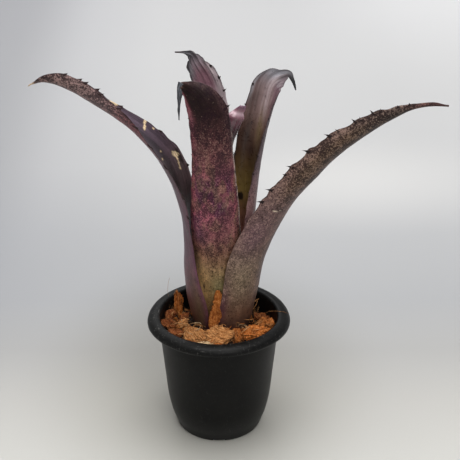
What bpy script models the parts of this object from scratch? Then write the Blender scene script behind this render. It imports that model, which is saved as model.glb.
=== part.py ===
"""Potted bromeliad: an upright, spiny, purple-bronze rosette in a round plastic pot.

Metres, +Z up. The origin is the centre of the pot's underside; the plant's open side
faces -Y. Tables below are in millimetres and are scaled by MM when meshes are made.
"""
import math
import bmesh
import bpy
from mathutils import Matrix, Vector

MM = 0.001

# ---------------------------------------------------------------- driving dimensions (mm)
POT_RIM_R = 52.5          # outer radius of the rolled rim
POT_HEIGHT = 92.0         # underside to the top of the rim
POT_WALL = 1.5
POT_FRONT_LIFT = 3.0      # the front of the rim stands this much higher than its back
POT_FLOOR = 2.4
POT_FOOT_RECESS = 0.9     # the floor stands this far above the foot ring
POT_PAD_R = 7.0           # centre pad, level with the foot ring
POT_SEGMENTS = 48
DRAIN_R = 4.2
DRAIN_PITCH_R = 16.5
DRAIN_COUNT = 6
NOTCH_W, NOTCH_H = 9.0, 0.9

MIX_GAP = 0.6            # mix to pot wall
MIX_LEVEL = 75.0
MIX_WELL_R = 16.9         # well that the leaf bases stand in
MIX_WELL_FLOOR = 61.2
STEM_R = 5.9
STEM_LOW, STEM_TOP = 18.0, 73.0
ROSETTE_XY = (2.0, 13.0)  # axis of the rosette; it stands a little behind the pot's centre

LEAF_T_BASE, LEAF_T_MID, LEAF_T_TIP = 1.9, 1.45, 0.8

# Leaves. Spines stand between the first_spine and last_spine fractions of the length.
# Each row is one station on the midrib:
# x, y, z, width along the section, half wrap (deg), facing azimuth (deg), side rise (deg)
LEAVES = {
    "leaf_left": dict(first_spine=0.46, last_spine=0.93, pitch=12.5, spine=2.2, rows=[
        (-13, 15, 62, 36, 68, 172, 0),
        (-19, 16, 84, 53.5, 72, 173, 0),
        (-23, 15, 103.5, 61, 69, 176, -2),
        (-24.5, 15, 124.5, 54, 50, 179, -5),
        (-24.5, 13.5, 147.5, 46, 36, 181, -8),
        (-25.5, 12, 168, 44, 31, 181, -16),
        (-29, 10, 186.5, 46, 43, 181, -22),
        (-34.5, 7, 206, 45, 40, 182, -19),
        (-43.5, 4, 223.5, 39.5, 33, 183, -8),
        (-56, 1, 239, 35, 34, 184, 2),
        (-71.5, -4, 254, 32.5, 50, 184, 20),
        (-87.5, -8, 267.5, 31, 68, 184, 22),
        (-100, -11, 276.5, 29, 77, 184, 27),
        (-110, -13, 282, 22, 79, 184, 28),
        (-118, -14, 283.5, 13, 63, 184, 25),
        (-125, -15, 281, 4, 37, 184, 23)]),
    "leaf_right": dict(first_spine=0.44, last_spine=0.93, pitch=12.0, spine=2.4, rows=[
        (16.5, 8, 62, 41.5, 78, -20, 0),
        (21.5, 5, 84, 56, 75, -24, 0),
        (25.5, 1, 111, 54.5, 68, -30, -1),
        (30, 1, 136, 56, 71, -30, -5),
        (39, -1.5, 162, 52.5, 70, -30, -10),
        (50.5, -7.5, 188.5, 43, 71, -30, -18),
        (65.5, -16, 213.5, 37.5, 72, -30, -29),
        (81, -25, 236, 33, 73, -30, -31),
        (97, -33, 253.5, 26, 74, -30, -32),
        (112, -40, 267.5, 18.5, 76, -30, -32),
        (127.5, -46, 278, 9, 74, -28, -29),
        (139.5, -49, 281.5, 6, 59, -28, -29),
        (148, -51, 282, 3.5, 30, -28, -30)]),
    "leaf_front": dict(first_spine=0.62, last_spine=0.80, pitch=15.0, spine=1.2, rows=[
        (1.5, 0.5, 62, 31, 70, -92, 0),
        (1.5, -3.5, 84, 40, 68, -92, 0),
        (0, -4, 108, 40, 64, -92, 0),
        (-0.5, -6.5, 136, 41.5, 59, -92, 0),
        (-2, -12, 166, 40, 52, -91, 0),
        (-2.5, -17, 196, 37, 51, -90, 0),
        (-3.5, -22, 228, 32.5, 52, -90, 0),
        (-5, -25, 252, 31, 48, -90, 4),
        (-7, -26, 265, 29.5, 47, -90, 16),
        (-12, -25, 274, 25.5, 40, -92, 36),
        (-20, -22, 280.5, 13, 30, -95, 60),
        (-24.5, -19, 281.5, 4.5, 20, -98, 98),
        (-26, -18, 275, 3.5, 15, -98, 160),
        (-26, -18, 266, 3, 10, -95, 180),
        (-26, -18, 257, 1, 5, -90, 180)]),
    "leaf_back_left": dict(first_spine=0.66, last_spine=0.86, pitch=12.0, spine=2.0, rows=[
        (-4, 24, 62, 29, 66, 118, 0),
        (-5.5, 28.5, 84, 36.5, 62, 116, 0),
        (-4.5, 33.5, 112, 37.5, 60, 110, 0),
        (-5, 39.5, 145, 29, 48, 104, 0),
        (-5.5, 43, 181, 27.5, 48, 102, 0),
        (-4, 43.5, 215, 26, 45, 98, 0),
        (-4.5, 44, 241.5, 23, 42, 96, -3),
        (-9.5, 44, 261, 21, 42, 96, -13),
        (-15.5, 44, 273, 15.5, 42, 96, -23),
        (-18, 43, 280.5, 8, 43, 98, -39),
        (-22.5, 41, 281, 4, 30, 100, -60),
        (-30, 38, 283.5, 1.5, 20, 100, -90)]),
    "leaf_back_right": dict(first_spine=0.60, last_spine=0.80, pitch=13.0, spine=1.6, rows=[
        (10, 19, 62, 28, 80, 36, 0),
        (12.5, 20.5, 84, 33, 76, 34, 0),
        (16.5, 22.5, 112.5, 38, 80, 30, -1),
        (23.5, 24.5, 146, 38.5, 79, 18, -4),
        (26, 28.5, 177, 36, 82, 23, -6),
        (27.5, 34, 203, 35.5, 85, 39, -8),
        (31, 39, 228.5, 32.5, 82, 50, -7),
        (34.5, 43, 246.5, 27.5, 70, 58, 0),
        (38, 46, 256.5, 23, 54, 61, 16),
        (43.5, 47.5, 261, 13.5, 40, 62, 44),
        (48.5, 48, 262, 4, 30, 62, 82),
        (51.5, 47, 259.5, 3, 20, 62, 132),
        (53.5, 46, 253, 1, 10, 62, 160)]),
    "leaf_centre_young": dict(first_spine=2.0, last_spine=1.0, pitch=12.0, spine=0.0, rows=[
        (3.5, 5.5, 64, 26, 100, -80, 0),
        (3.5, 6, 86, 27, 105, -80, 0),
        (2.5, 4.5, 120, 29.5, 105, -75, 0),
        (1.5, 4, 159.5, 29, 100, -70, 0),
        (2.5, 4, 199.5, 27.5, 96, -60, 0),
        (7.5, 4, 229.5, 25, 88, -55, 0),
        (14.5, 4, 247.5, 19.5, 78, -55, 12),
        (18, 5, 257, 5.5, 60, -55, 40)]),
}

# Coconut-husk chips: centre x, y, z; length, width, thickness; direction of the length,
# direction of the broad face, seed
CHIPS = [
    ("husk_chip_01", (-30.5, 22.0, 86.8), (17, 7.5, 3.2), (-0.15, 0.30, 1.0), (0.5, -1.0, 0.3), 1),
    ("husk_chip_02", (-36.0, 10.5, 85.5), (11, 6.5, 4.5), (0.3, 1.0, 0.3), (-0.2, -0.4, 1.0), 2),
    ("husk_chip_03", (-36.0, -1.5, 85.0), (10, 7.5, 4.5), (0.8, -0.5, 0.1), (0.1, -0.4, 1.0), 3),
    ("husk_chip_04", (-27.3, -0.2, 84.5), (7.5, 5.0, 3.8), (1.0, 0.4, 0.2), (0.2, -0.5, 1.0), 4),
    ("husk_chip_05", (-31.0, -14.5, 85.5), (10, 6.5, 4.0), (0.8, -0.6, 0.1), (-0.2, -0.5, 1.0), 5),
    ("husk_chip_06", (-16.6, -17.8, 85.6), (16, 12, 4.0), (0.8, -0.55, -0.1), (-0.1, -0.45, 1.0), 6),
    ("husk_chip_07", (-10.5, -32.5, 87.6), (10, 3.4, 2.0), (1.0, -0.12, 0.0), (0.0, -0.5, 1.0), 7),
    ("husk_chip_08", (1.5, -21.5, 86.0), (16, 14, 5.0), (1.0, -0.1, 0.1), (0.05, -0.4, 1.0), 8),
    ("husk_chip_09", (14.8, -17.5, 86.0), (12, 7.5, 5.0), (0.1, 1.0, 0.1), (0.2, -0.3, 1.0), 9),
    ("husk_chip_10", (28.0, -15.5, 86.0), (19, 10.5, 5.5), (1.0, 0.45, 0.0), (-0.1, -0.35, 1.0), 10),
    ("husk_chip_11", (37.5, -3.0, 85.2), (8, 5.5, 4.0), (0.3, 1.0, 0.1), (0.1, -0.3, 1.0), 11),
    ("husk_chip_12", (31.3, 18.6, 77.0), (12, 7.0, 4.5), (-0.6, 0.8, 0.25), (0.3, -0.6, 1.0), 12),
    ("husk_chip_13", (31.5, 3.5, 82.0), (9, 6.0, 4.0), (0.2, 1.0, 0.2), (-0.3, -0.3, 1.0), 13),
    ("husk_chip_14", (-21.5, -29.0, 85.0), (9, 5.5, 4.0), (0.8, -0.6, 0.0), (-0.1, -0.2, 1.0), 14),
    ("husk_chip_15", (14.5, -32.5, 85.2), (13, 6.0, 4.0), (1.0, 0.35, 0.0), (0.0, -0.2, 1.0), 15),
    ("husk_chip_16", (3.0, 36.2, 79.5), (5, 12, 4.0), (0.1, -0.2, 1.0), (0.0, -1.0, -0.2), 16),
    ("husk_chip_17", (-14.0, 33.8, 80.5), (11, 5.0, 4.0), (1.0, 0.35, 0.1), (0.2, -0.5, 1.0), 17),
    ("husk_chip_18", (17.5, 30.5, 76.5), (12, 5.5, 4.0), (1.0, -0.5, 0.1), (0.1, -0.3, 1.0), 18),
    ("husk_chip_19", (-26.5, 10.0, 82.0), (8.5, 5.0, 3.6), (0.2, 1.0, 0.1), (0.3, -0.2, 1.0), 19),
    ("husk_chip_20", (-22.0, -7.5, 82.8), (6.5, 4.6, 3.2), (0.5, -1.0, 0.0), (0.3, -0.2, 1.0), 20),
    ("husk_chip_21", (0.0, -33.8, 86.6), (10, 4.2, 3.2), (1.0, 0.0, 0.0), (0.0, -0.3, 1.0), 21),
    ("husk_chip_22", (-3.9, -10.9, 98.0), (22, 6.0, 1.5), (0.06, 0.02, 1.0), (0.1, -1.0, 0.0), 22),
]

# Loose straws of husk fibre: diameter and the points they run through
FIBRES = [
    ("husk_fibre_01", 0.9, [(22.5, 25, 80), (25, 25.5, 85), (30, 26.5, 89)]),
    ("husk_fibre_02", 0.8, [(24, 22, 81), (27, 21.5, 85), (29, 22.5, 90)]),
    ("husk_fibre_03", 0.7, [(-34, -9, 88.4), (-29, -8, 89.2), (-23.5, -11, 89.0)]),
]

COLOURS = {
    "pot": ((0.012, 0.012, 0.014, 1), 0.42),
    "potting_mix": ((0.030, 0.018, 0.012, 1), 0.95),
    "stem_base": ((0.10, 0.06, 0.04, 1), 0.85),
    "leaf_left": ((0.105, 0.050, 0.065, 1), 0.45),
    "leaf_right": ((0.140, 0.085, 0.080, 1), 0.50),
    "leaf_front": ((0.095, 0.022, 0.036, 1), 0.45),
    "leaf_back_left": ((0.150, 0.070, 0.095, 1), 0.42),
    "leaf_back_right": ((0.120, 0.065, 0.065, 1), 0.42),
    "leaf_centre_young": ((0.200, 0.060, 0.100, 1), 0.35),
    "husk": ((0.420, 0.150, 0.045, 1), 0.90),
    "fibre": ((0.500, 0.330, 0.140, 1), 0.85),
}


# ---------------------------------------------------------------- helpers
def clear_scene():
    for ob in list(bpy.data.objects):
        bpy.data.objects.remove(ob, do_unlink=True)


def material(name, key):
    colour, rough = COLOURS[key]
    mat = bpy.data.materials.new("mat_" + name)
    mat.use_nodes = True
    bsdf = mat.node_tree.nodes["Principled BSDF"]
    bsdf.inputs["Base Color"].default_value = colour
    bsdf.inputs["Roughness"].default_value = rough
    bsdf.inputs["Metallic"].default_value = 0.0
    mat.diffuse_color = colour
    return mat


def add_object(name, bm, key, smooth_angle=40.0):
    bmesh.ops.recalc_face_normals(bm, faces=bm.faces)
    mesh = bpy.data.meshes.new(name)
    bm.to_mesh(mesh)
    bm.free()
    mesh.shade_smooth()
    mesh.set_sharp_from_angle(angle=math.radians(smooth_angle))
    ob = bpy.data.objects.new(name, mesh)
    bpy.context.scene.collection.objects.link(ob)
    mesh.materials.append(material(name, key))
    return ob


def add_cutter(name, bm):
    bmesh.ops.recalc_face_normals(bm, faces=bm.faces)
    mesh = bpy.data.meshes.new(name)
    bm.to_mesh(mesh)
    bm.free()
    ob = bpy.data.objects.new(name, mesh)
    bpy.context.scene.collection.objects.link(ob)
    ob.hide_render = True
    ob.display_type = "WIRE"
    return ob


def hermite_rows(rows, fractions):
    """Smooth curve through the stations, by distance along them, at the given fractions."""
    pts = [Vector(r[:3]) for r in rows]
    dist = [0.0]
    for a, b in zip(pts, pts[1:]):
        dist.append(dist[-1] + (b - a).length)
    count, width = len(rows), len(rows[0])
    slope = []
    for i in range(count):
        if i == 0:
            slope.append([(rows[1][k] - rows[0][k]) / (dist[1] - dist[0]) for k in range(width)])
        elif i == count - 1:
            slope.append([(rows[-1][k] - rows[-2][k]) / (dist[-1] - dist[-2]) for k in range(width)])
        else:
            h0, h1 = dist[i] - dist[i - 1], dist[i + 1] - dist[i]
            slope.append([((rows[i][k] - rows[i - 1][k]) / h0 * h1
                           + (rows[i + 1][k] - rows[i][k]) / h1 * h0) / (h0 + h1)
                          for k in range(width)])
    out = []
    for f in fractions:
        t = f * dist[-1]
        i = 0
        while i < count - 2 and t > dist[i + 1]:
            i += 1
        h = dist[i + 1] - dist[i]
        u = (t - dist[i]) / h
        a, b = 2 * u**3 - 3 * u**2 + 1, u**3 - 2 * u**2 + u
        c, d = -2 * u**3 + 3 * u**2, u**3 - u**2
        out.append([a * rows[i][k] + b * h * slope[i][k] + c * rows[i + 1][k] + d * h * slope[i + 1][k]
                    for k in range(width)])
    return out, dist[-1]


def leaf_frames(stations):
    frames = []
    for i, s in enumerate(stations):
        a = Vector(stations[max(i - 1, 0)][:3])
        b = Vector(stations[min(i + 1, len(stations) - 1)][:3])
        tangent = (b - a).normalized()
        face, rise = math.radians(s[5]), math.radians(s[6])
        side = Vector((-math.sin(face) * math.cos(rise), math.cos(face) * math.cos(rise), math.sin(rise)))
        side = (side - tangent * side.dot(tangent)).normalized()
        frames.append((Vector(s[:3]), side, tangent.cross(side)))
    return frames


def leaf_thickness(f):
    if f < 0.35:
        return LEAF_T_BASE + (LEAF_T_MID - LEAF_T_BASE) * f / 0.35
    return LEAF_T_MID + (LEAF_T_TIP - LEAF_T_MID) * (f - 0.35) / 0.65


def leaf_fractions(spec, length, fill=26):
    """Stations along the leaf: an even fill, and three for each pair of marginal spines."""
    teeth = []
    f = spec["first_spine"]
    k = 0
    while f < spec["last_spine"]:
        teeth.append((f, spec["spine"] * (0.8 + 0.25 * math.sin(2.3 * k + 0.7))))
        f += spec["pitch"] * (1.0 + 0.18 * math.sin(1.7 * k)) / length
        k += 1
    half = 1.7 / length
    marks = [(f - half, 0.0) for f, _ in teeth] + teeth + [(f + half, 0.0) for f, _ in teeth]
    for k in range(fill + 1):
        f = k / fill
        if all(abs(f - m[0]) > 0.45 / fill for m in marks):
            marks.append((f, 0.0))
    marks.append((0.0, 0.0)) if not any(m[0] < 1e-6 for m in marks) else None
    marks.append((1.0, 0.0)) if not any(m[0] > 1 - 1e-6 for m in marks) else None
    marks.sort()
    return marks


def build_leaf(name, spec, columns=7):
    """A channelled strap: an arc-shaped section carried along the midrib, with spines on both edges."""
    _, length = hermite_rows(spec["rows"], [0.0])
    marks = leaf_fractions(spec, length)
    stations, _ = hermite_rows(spec["rows"], [m[0] for m in marks])
    frames = leaf_frames(stations)
    bm = bmesh.new()
    rings = []
    for (f, tooth), s, (p, side, normal) in zip(marks, stations, frames):
        width, wrap = max(s[3], 0.9), math.radians(max(s[4], 5.0))
        radius = width / (2 * wrap)
        thick = min(leaf_thickness(f), width * 0.55)
        inner, outer = [], []
        for j in range(columns):
            u = -1 + 2 * j / (columns - 1)
            ang = wrap * u
            t = thick * (1 - 0.5 * u * u)
            extra = Vector((0, 0, 0))
            if j in (0, columns - 1) and tooth > 0:
                extra = (side * math.cos(ang) * (1 if u > 0 else -1) + normal * abs(math.sin(ang))) * tooth
                t *= 0.45
            for ring, off in ((inner, t / 2), (outer, -t / 2)):
                r = radius - off
                ring.append(bm.verts.new((p + side * (r * math.sin(ang))
                                          + normal * (radius - r * math.cos(ang)) + extra) * MM))
        rings.append(inner + outer[::-1])
    n = len(rings[0])
    for a, b in zip(rings, rings[1:]):
        for k in range(n):
            bm.faces.new((a[k], a[(k + 1) % n], b[(k + 1) % n], b[k]))
    for ring in (rings[0], rings[-1]):
        for j in range(columns - 1):
            bm.faces.new((ring[j], ring[j + 1], ring[n - 2 - j], ring[n - 1 - j]))
    return add_object(name, bm, name, 60.0)


# ---------------------------------------------------------------- pot
POT_OUTER = [(31.0, 0.0), (32.0, 1.4), (33.4, 5.5), (36.0, 13.5), (38.4, 26.0),
             (40.0, 43.0), (43.5, 80.0), (44.9, 80.6), (45.0, 87.6)]
POT_LIP_UNDER = [(46.8, 89.6), (49.8, 88.9), (51.0, 86.4)]
POT_LIP_TOP = [(51.9, 85.7), (52.5, 87.3), (51.9, 89.2), (50.0, 90.9), (47.2, 91.8), (44.8, 92.0), (43.2, 91.0)]
POT_INNER = [(42.3, 82.0), (38.5, 43.0), (36.8, 26.0), (34.2, 13.0), (31.6, 5.5), (29.6, 3.6)]


def smoothstep(a, b, x):
    t = min(max((x - a) / (b - a), 0.0), 1.0)
    return t * t * (3 - 2 * t)


def pot_lift(y, z):
    """The soft rim is not level: its front edge stands a little higher than the rest."""
    return POT_FRONT_LIFT * smoothstep(-0.1, 1.0, -y / 50.0) * smoothstep(74.0, 80.5, z)


def build_pot():
    z_floor = POT_FOOT_RECESS + POT_FLOOR - 0.9
    profile = (POT_OUTER + POT_LIP_UNDER + POT_LIP_TOP + POT_INNER + [(27.0, z_floor)])
    bm = bmesh.new()
    segs = POT_SEGMENTS
    under = [(POT_PAD_R, 0.0), (POT_PAD_R + 0.6, POT_FOOT_RECESS), (27.6, POT_FOOT_RECESS), (28.2, 0.0)]
    loops = []
    for r, z in under + profile:
        loop = []
        for k in range(segs):
            a = 2 * math.pi * k / segs
            x, y = r * math.cos(a), r * math.sin(a)
            loop.append(bm.verts.new((x * MM, y * MM, (z + pot_lift(y, z)) * MM)))
        loops.append(loop)
    for a, b in zip(loops, loops[1:]):
        for k in range(segs):
            j = (k + 1) % segs
            bm.faces.new((a[k], a[j], b[j], b[k]))
    bm.faces.new(loops[0])
    bm.faces.new(loops[-1])
    pot = add_object("pot", bm, "pot", 35.0)
    # drainage holes through the floor, and water notches under the foot ring
    cut = bmesh.new()
    for k in range(DRAIN_COUNT):
        a = 2 * math.pi * (k + 0.5) / DRAIN_COUNT
        where = Matrix.Translation((DRAIN_PITCH_R * math.cos(a) * MM, DRAIN_PITCH_R * math.sin(a) * MM, 2 * MM))
        bmesh.ops.create_cone(cut, cap_ends=True, segments=16, radius1=DRAIN_R * MM, radius2=DRAIN_R * MM,
                              depth=12 * MM, matrix=where)
    for k in range(4):
        a = math.radians(-90 + 90 * k)
        where = (Matrix.Rotation(a, 4, "Z") @ Matrix.Translation((31.0 * MM, 0, 0))
                 @ Matrix.Diagonal((9 * MM, NOTCH_W * MM, 2 * NOTCH_H * MM, 1)))
        bmesh.ops.create_cube(cut, size=1.0, matrix=where)
    cutter = add_cutter("pot_cutter", cut)
    mod = pot.modifiers.new("openings", "BOOLEAN")
    mod.operation = "DIFFERENCE"
    mod.solver = "EXACT"
    mod.object = cutter
    return pot


# ---------------------------------------------------------------- mix and stem
def mix_wobble(i, a):
    """Uneven top of the mix; the inner well and the wall side stay true."""
    if i in (3, 4, 5):
        h = 0.8 * math.sin(3 * a + 0.6) + 0.6 * math.sin(5 * a + 2.0) + 0.4 * math.sin(8 * a)
        away = math.atan2(math.sin(a - 0.7), math.cos(a - 0.7))
        dz = h + 4.0 * math.cos(a + 2.0) - 3.0 * math.exp(-(away / 0.6) ** 2)
        return (0.0975 * dz if i == 3 else 0.0), dz
    return 0.0, 0.0


def build_mix():
    g = MIX_GAP
    profile = [(28.4, 4.4), (33.8 - g, 13.0), (38.4 - g, 43.0), (41.5 - g, MIX_LEVEL),
               (34.0, MIX_LEVEL + 1.0), (27.0, MIX_LEVEL - 0.5), (20.6, MIX_LEVEL - 1.5),
               (MIX_WELL_R + 1.5, MIX_WELL_FLOOR + 2.0), (MIX_WELL_R, MIX_WELL_FLOOR),
               (STEM_R + 0.6, MIX_WELL_FLOOR), (STEM_R + 0.6, STEM_LOW + 3.0), (3.4, STEM_LOW - 0.6)]
    bm = bmesh.new()
    segs = 36
    cx, cy = ROSETTE_XY
    rings = []
    for k in range(segs):
        a = 2 * math.pi * k / segs
        ring = []
        for i, (r, z) in enumerate(profile):
            dr, dz = mix_wobble(i, a)
            # the well and the stem hole are centred on the rosette, the outside on the pot
            share = {0: 0.0, 1: 0.0, 2: 0.0, 3: 0.0, 4: 0.15, 5: 0.55}.get(i, 1.0)
            ring.append(bm.verts.new(((cx * share + (r + dr) * math.cos(a)) * MM,
                                      (cy * share + (r + dr) * math.sin(a)) * MM, (z + dz) * MM)))
        rings.append(ring)
    n = len(profile)
    for k in range(segs):
        a, b = rings[k], rings[(k + 1) % segs]
        for i in range(n - 1):
            bm.faces.new((a[i], b[i], b[i + 1], a[i + 1]))
    bm.faces.new([ring[0] for ring in rings])
    bm.faces.new([ring[-1] for ring in rings])
    return add_object("potting_mix", bm, "potting_mix", 30.0)


def build_stem():
    """Short woody stem with the rings that shed leaves have left."""
    cx, cy = ROSETTE_XY
    segs = 16
    bm = bmesh.new()
    profile = [(2.5, STEM_LOW), (4.6, STEM_LOW + 1.5), (5.3, STEM_LOW + 8)]
    z = STEM_LOW + 12
    while z < 58:
        profile += [(STEM_R, z), (STEM_R - 0.7, z + 3.0)]
        z += 7.0
    profile += [(STEM_R - 0.3, 62.0), (5.2, 68.0), (4.0, STEM_TOP - 1.2), (1.6, STEM_TOP)]
    loops = [[bm.verts.new(((cx + r * math.cos(2 * math.pi * k / segs)) * MM,
                            (cy + r * math.sin(2 * math.pi * k / segs)) * MM, zz * MM))
              for k in range(segs)] for r, zz in profile]
    for a, b in zip(loops, loops[1:]):
        for k in range(segs):
            j = (k + 1) % segs
            bm.faces.new((a[k], a[j], b[j], b[k]))
    bm.faces.new(loops[0])
    bm.faces.new(loops[-1])
    return add_object("stem_base", bm, "stem_base", 40.0)


# ---------------------------------------------------------------- husk chips
def pseudo(seed, k):
    """Repeatable spread of values in -1 to 1."""
    v = math.sin(seed * 12.9898 + k * 78.233) * 43758.5453
    return 2 * (v - math.floor(v)) - 1


def build_chip(name, centre, size, along, facing, seed):
    """An angular torn chip: the hull of a roughened slab."""
    length, width, thick = size
    bm = bmesh.new()
    k = 0
    for sx, sy in ((-1, -0.6), (-0.75, 0.85), (-0.1, 1.0), (0.7, 0.8), (1.0, 0.1), (0.75, -0.85), (-0.2, -1.0)):
        for sz in (-1, 1):
            jx, jy, jz = pseudo(seed, k), pseudo(seed, k + 31), pseudo(seed, k + 57)
            k += 1
            bm.verts.new(((sx * (0.5 + 0.06 * jx)) * length * MM, (sy * (0.5 + 0.07 * jy)) * width * MM,
                          sz * (0.40 + 0.10 * jz) * thick * MM))
    bmesh.ops.convex_hull(bm, input=bm.verts)
    bmesh.ops.delete(bm, geom=[v for v in bm.verts if not v.link_faces], context="VERTS")
    x = Vector(along).normalized()
    z = Vector(facing)
    z = (z - x * z.dot(x)).normalized()
    y = z.cross(x)
    ob = add_object(name, bm, "husk", 25.0)
    ob.matrix_world = Matrix((
        (x.x, y.x, z.x, centre[0] * MM), (x.y, y.y, z.y, centre[1] * MM),
        (x.z, y.z, z.z, centre[2] * MM), (0, 0, 0, 1)))
    return ob


def build_fibre(name, diameter, points):
    """A bent straw: a bevelled curve with filled caps."""
    curve = bpy.data.curves.new(name, "CURVE")
    curve.dimensions = "3D"
    curve.bevel_depth = diameter / 2 * MM
    curve.bevel_resolution = 1
    curve.use_fill_caps = True
    spline = curve.splines.new("POLY")
    a, b, c = (Vector(p) for p in points)
    steps = 6
    spline.points.add(steps)
    for k in range(steps + 1):
        t = k / steps
        p = a * (1 - t) * (1 - 2 * t) + b * 4 * t * (1 - t) + c * t * (2 * t - 1)
        spline.points[k].co = (p.x * MM, p.y * MM, p.z * MM, 1.0)
    ob = bpy.data.objects.new(name, curve)
    bpy.context.scene.collection.objects.link(ob)
    curve.materials.append(material(name, "fibre"))
    return ob


# ---------------------------------------------------------------- build
clear_scene()
build_pot()
build_mix()
build_stem()
for leaf_name, leaf_spec in LEAVES.items():
    build_leaf(leaf_name, leaf_spec)
for chip in CHIPS:
    build_chip(*chip)
for fibre in FIBRES:
    build_fibre(*fibre)
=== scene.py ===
import math
import bpy
import bmesh
import numpy as np
from mathutils import Matrix, Vector, noise


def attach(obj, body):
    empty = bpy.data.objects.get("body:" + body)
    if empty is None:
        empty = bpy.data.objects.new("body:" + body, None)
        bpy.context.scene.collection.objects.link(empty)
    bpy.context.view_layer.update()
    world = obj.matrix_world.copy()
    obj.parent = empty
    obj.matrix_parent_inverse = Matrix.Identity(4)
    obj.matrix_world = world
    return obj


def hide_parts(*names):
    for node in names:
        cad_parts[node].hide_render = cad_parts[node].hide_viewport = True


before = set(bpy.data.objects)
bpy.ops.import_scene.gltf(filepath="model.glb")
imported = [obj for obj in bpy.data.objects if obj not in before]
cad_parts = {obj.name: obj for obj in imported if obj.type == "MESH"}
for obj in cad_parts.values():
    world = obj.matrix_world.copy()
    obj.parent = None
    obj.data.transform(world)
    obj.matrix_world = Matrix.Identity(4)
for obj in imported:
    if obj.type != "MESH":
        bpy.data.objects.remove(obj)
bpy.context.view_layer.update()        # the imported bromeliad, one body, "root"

MM = 0.001
scene = bpy.context.scene


# =============================================================== small helpers
def rng(seed):
    return np.random.RandomState(seed)


def smooth(a, b, x):
    t = np.clip((np.asarray(x, float) - a) / (b - a), 0.0, 1.0)
    return t * t * (3 - 2 * t)


def bump(x, c, w):
    return np.exp(-((np.asarray(x, float) - c) / w) ** 2)


_LAT = {}


def value_noise(p, seed=0):
    """Smooth value noise in -1..1 at points p (n, 3)."""
    if seed not in _LAT:
        _LAT[seed] = rng(seed + 100).uniform(-1, 1, (64, 64, 64)).astype(np.float32)
    lat = _LAT[seed]
    i = np.floor(p).astype(int)
    f = p - i
    f = f * f * (3 - 2 * f)
    out = np.zeros(len(p))
    for dx in (0, 1):
        wx = f[:, 0] if dx else 1 - f[:, 0]
        for dy in (0, 1):
            wy = f[:, 1] if dy else 1 - f[:, 1]
            for dz in (0, 1):
                wz = f[:, 2] if dz else 1 - f[:, 2]
                out += wx * wy * wz * lat[(i[:, 0] + dx) % 64, (i[:, 1] + dy) % 64, (i[:, 2] + dz) % 64]
    return out


def fbm(p, octaves=4, seed=0, gain=0.5):
    p = np.asarray(p, float)
    out, amp, tot = np.zeros(len(p)), 1.0, 0.0
    for k in range(octaves):
        out += amp * value_noise(p * 2 ** k + 17.3 * k, seed)
        tot += amp
        amp *= gain
    return out / tot


def new_mesh(name, verts, faces, smooth_shade=True):
    """verts in metres (n, 3), faces a list or array of index rows."""
    me = bpy.data.meshes.new(name)
    me.from_pydata([tuple(v) for v in np.asarray(verts, float)], [], [tuple(int(i) for i in f) for f in faces])
    me.update()
    if smooth_shade:
        me.shade_smooth()
    return me


def grid_faces(n, m, base=0, close=False, flip=False):
    """Quads of an n x m grid of vertices, row-major."""
    i = np.arange(n - 1)[:, None]
    j = np.arange(m if close else m - 1)[None, :]
    a = base + i * m + j
    b = base + i * m + (j + 1) % m
    c = base + (i + 1) * m + (j + 1) % m
    d = base + (i + 1) * m + j
    q = np.stack([a, b, c, d], -1).reshape(-1, 4)
    return q[:, ::-1] if flip else q


def fast_mesh(name, verts, quads, tris=None):
    """Quads (and triangles) put in with foreach_set, for large meshes."""
    verts = np.asarray(verts, np.float32)
    loops, starts, totals = [], [], []
    n = 0
    if quads is not None and len(quads):
        q = np.asarray(quads, np.int32)
        loops.append(q.ravel())
        starts.append(np.arange(len(q)) * 4)
        totals.append(np.full(len(q), 4))
        n = len(q) * 4
    if tris is not None and len(tris):
        t = np.asarray(tris, np.int32)
        loops.append(t.ravel())
        starts.append(n + np.arange(len(t)) * 3)
        totals.append(np.full(len(t), 3))
    loops, starts, totals = np.concatenate(loops), np.concatenate(starts), np.concatenate(totals)
    me = bpy.data.meshes.new(name)
    me.vertices.add(len(verts))
    me.vertices.foreach_set("co", verts.ravel())
    me.loops.add(len(loops))
    me.loops.foreach_set("vertex_index", loops.astype(np.int32))
    me.polygons.add(len(starts))
    me.polygons.foreach_set("loop_start", starts.astype(np.int32))
    me.update(calc_edges=True)
    me.validate()
    me.shade_smooth()
    return me


def set_attr(me, name, kind, data):
    at = me.attributes.new(name, kind, "POINT")
    key = {"FLOAT": "value", "FLOAT_VECTOR": "vector", "FLOAT_COLOR": "color"}[kind]
    at.data.foreach_set(key, np.asarray(data, np.float32).ravel())


def add(name, me, mat, slot, *nodes):
    ob = bpy.data.objects.new(name, me)
    scene.collection.objects.link(ob)
    if mat is not None:
        me.materials.append(mat)
    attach(ob, "root")
    if nodes:
        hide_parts(*nodes)
    return ob


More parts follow.
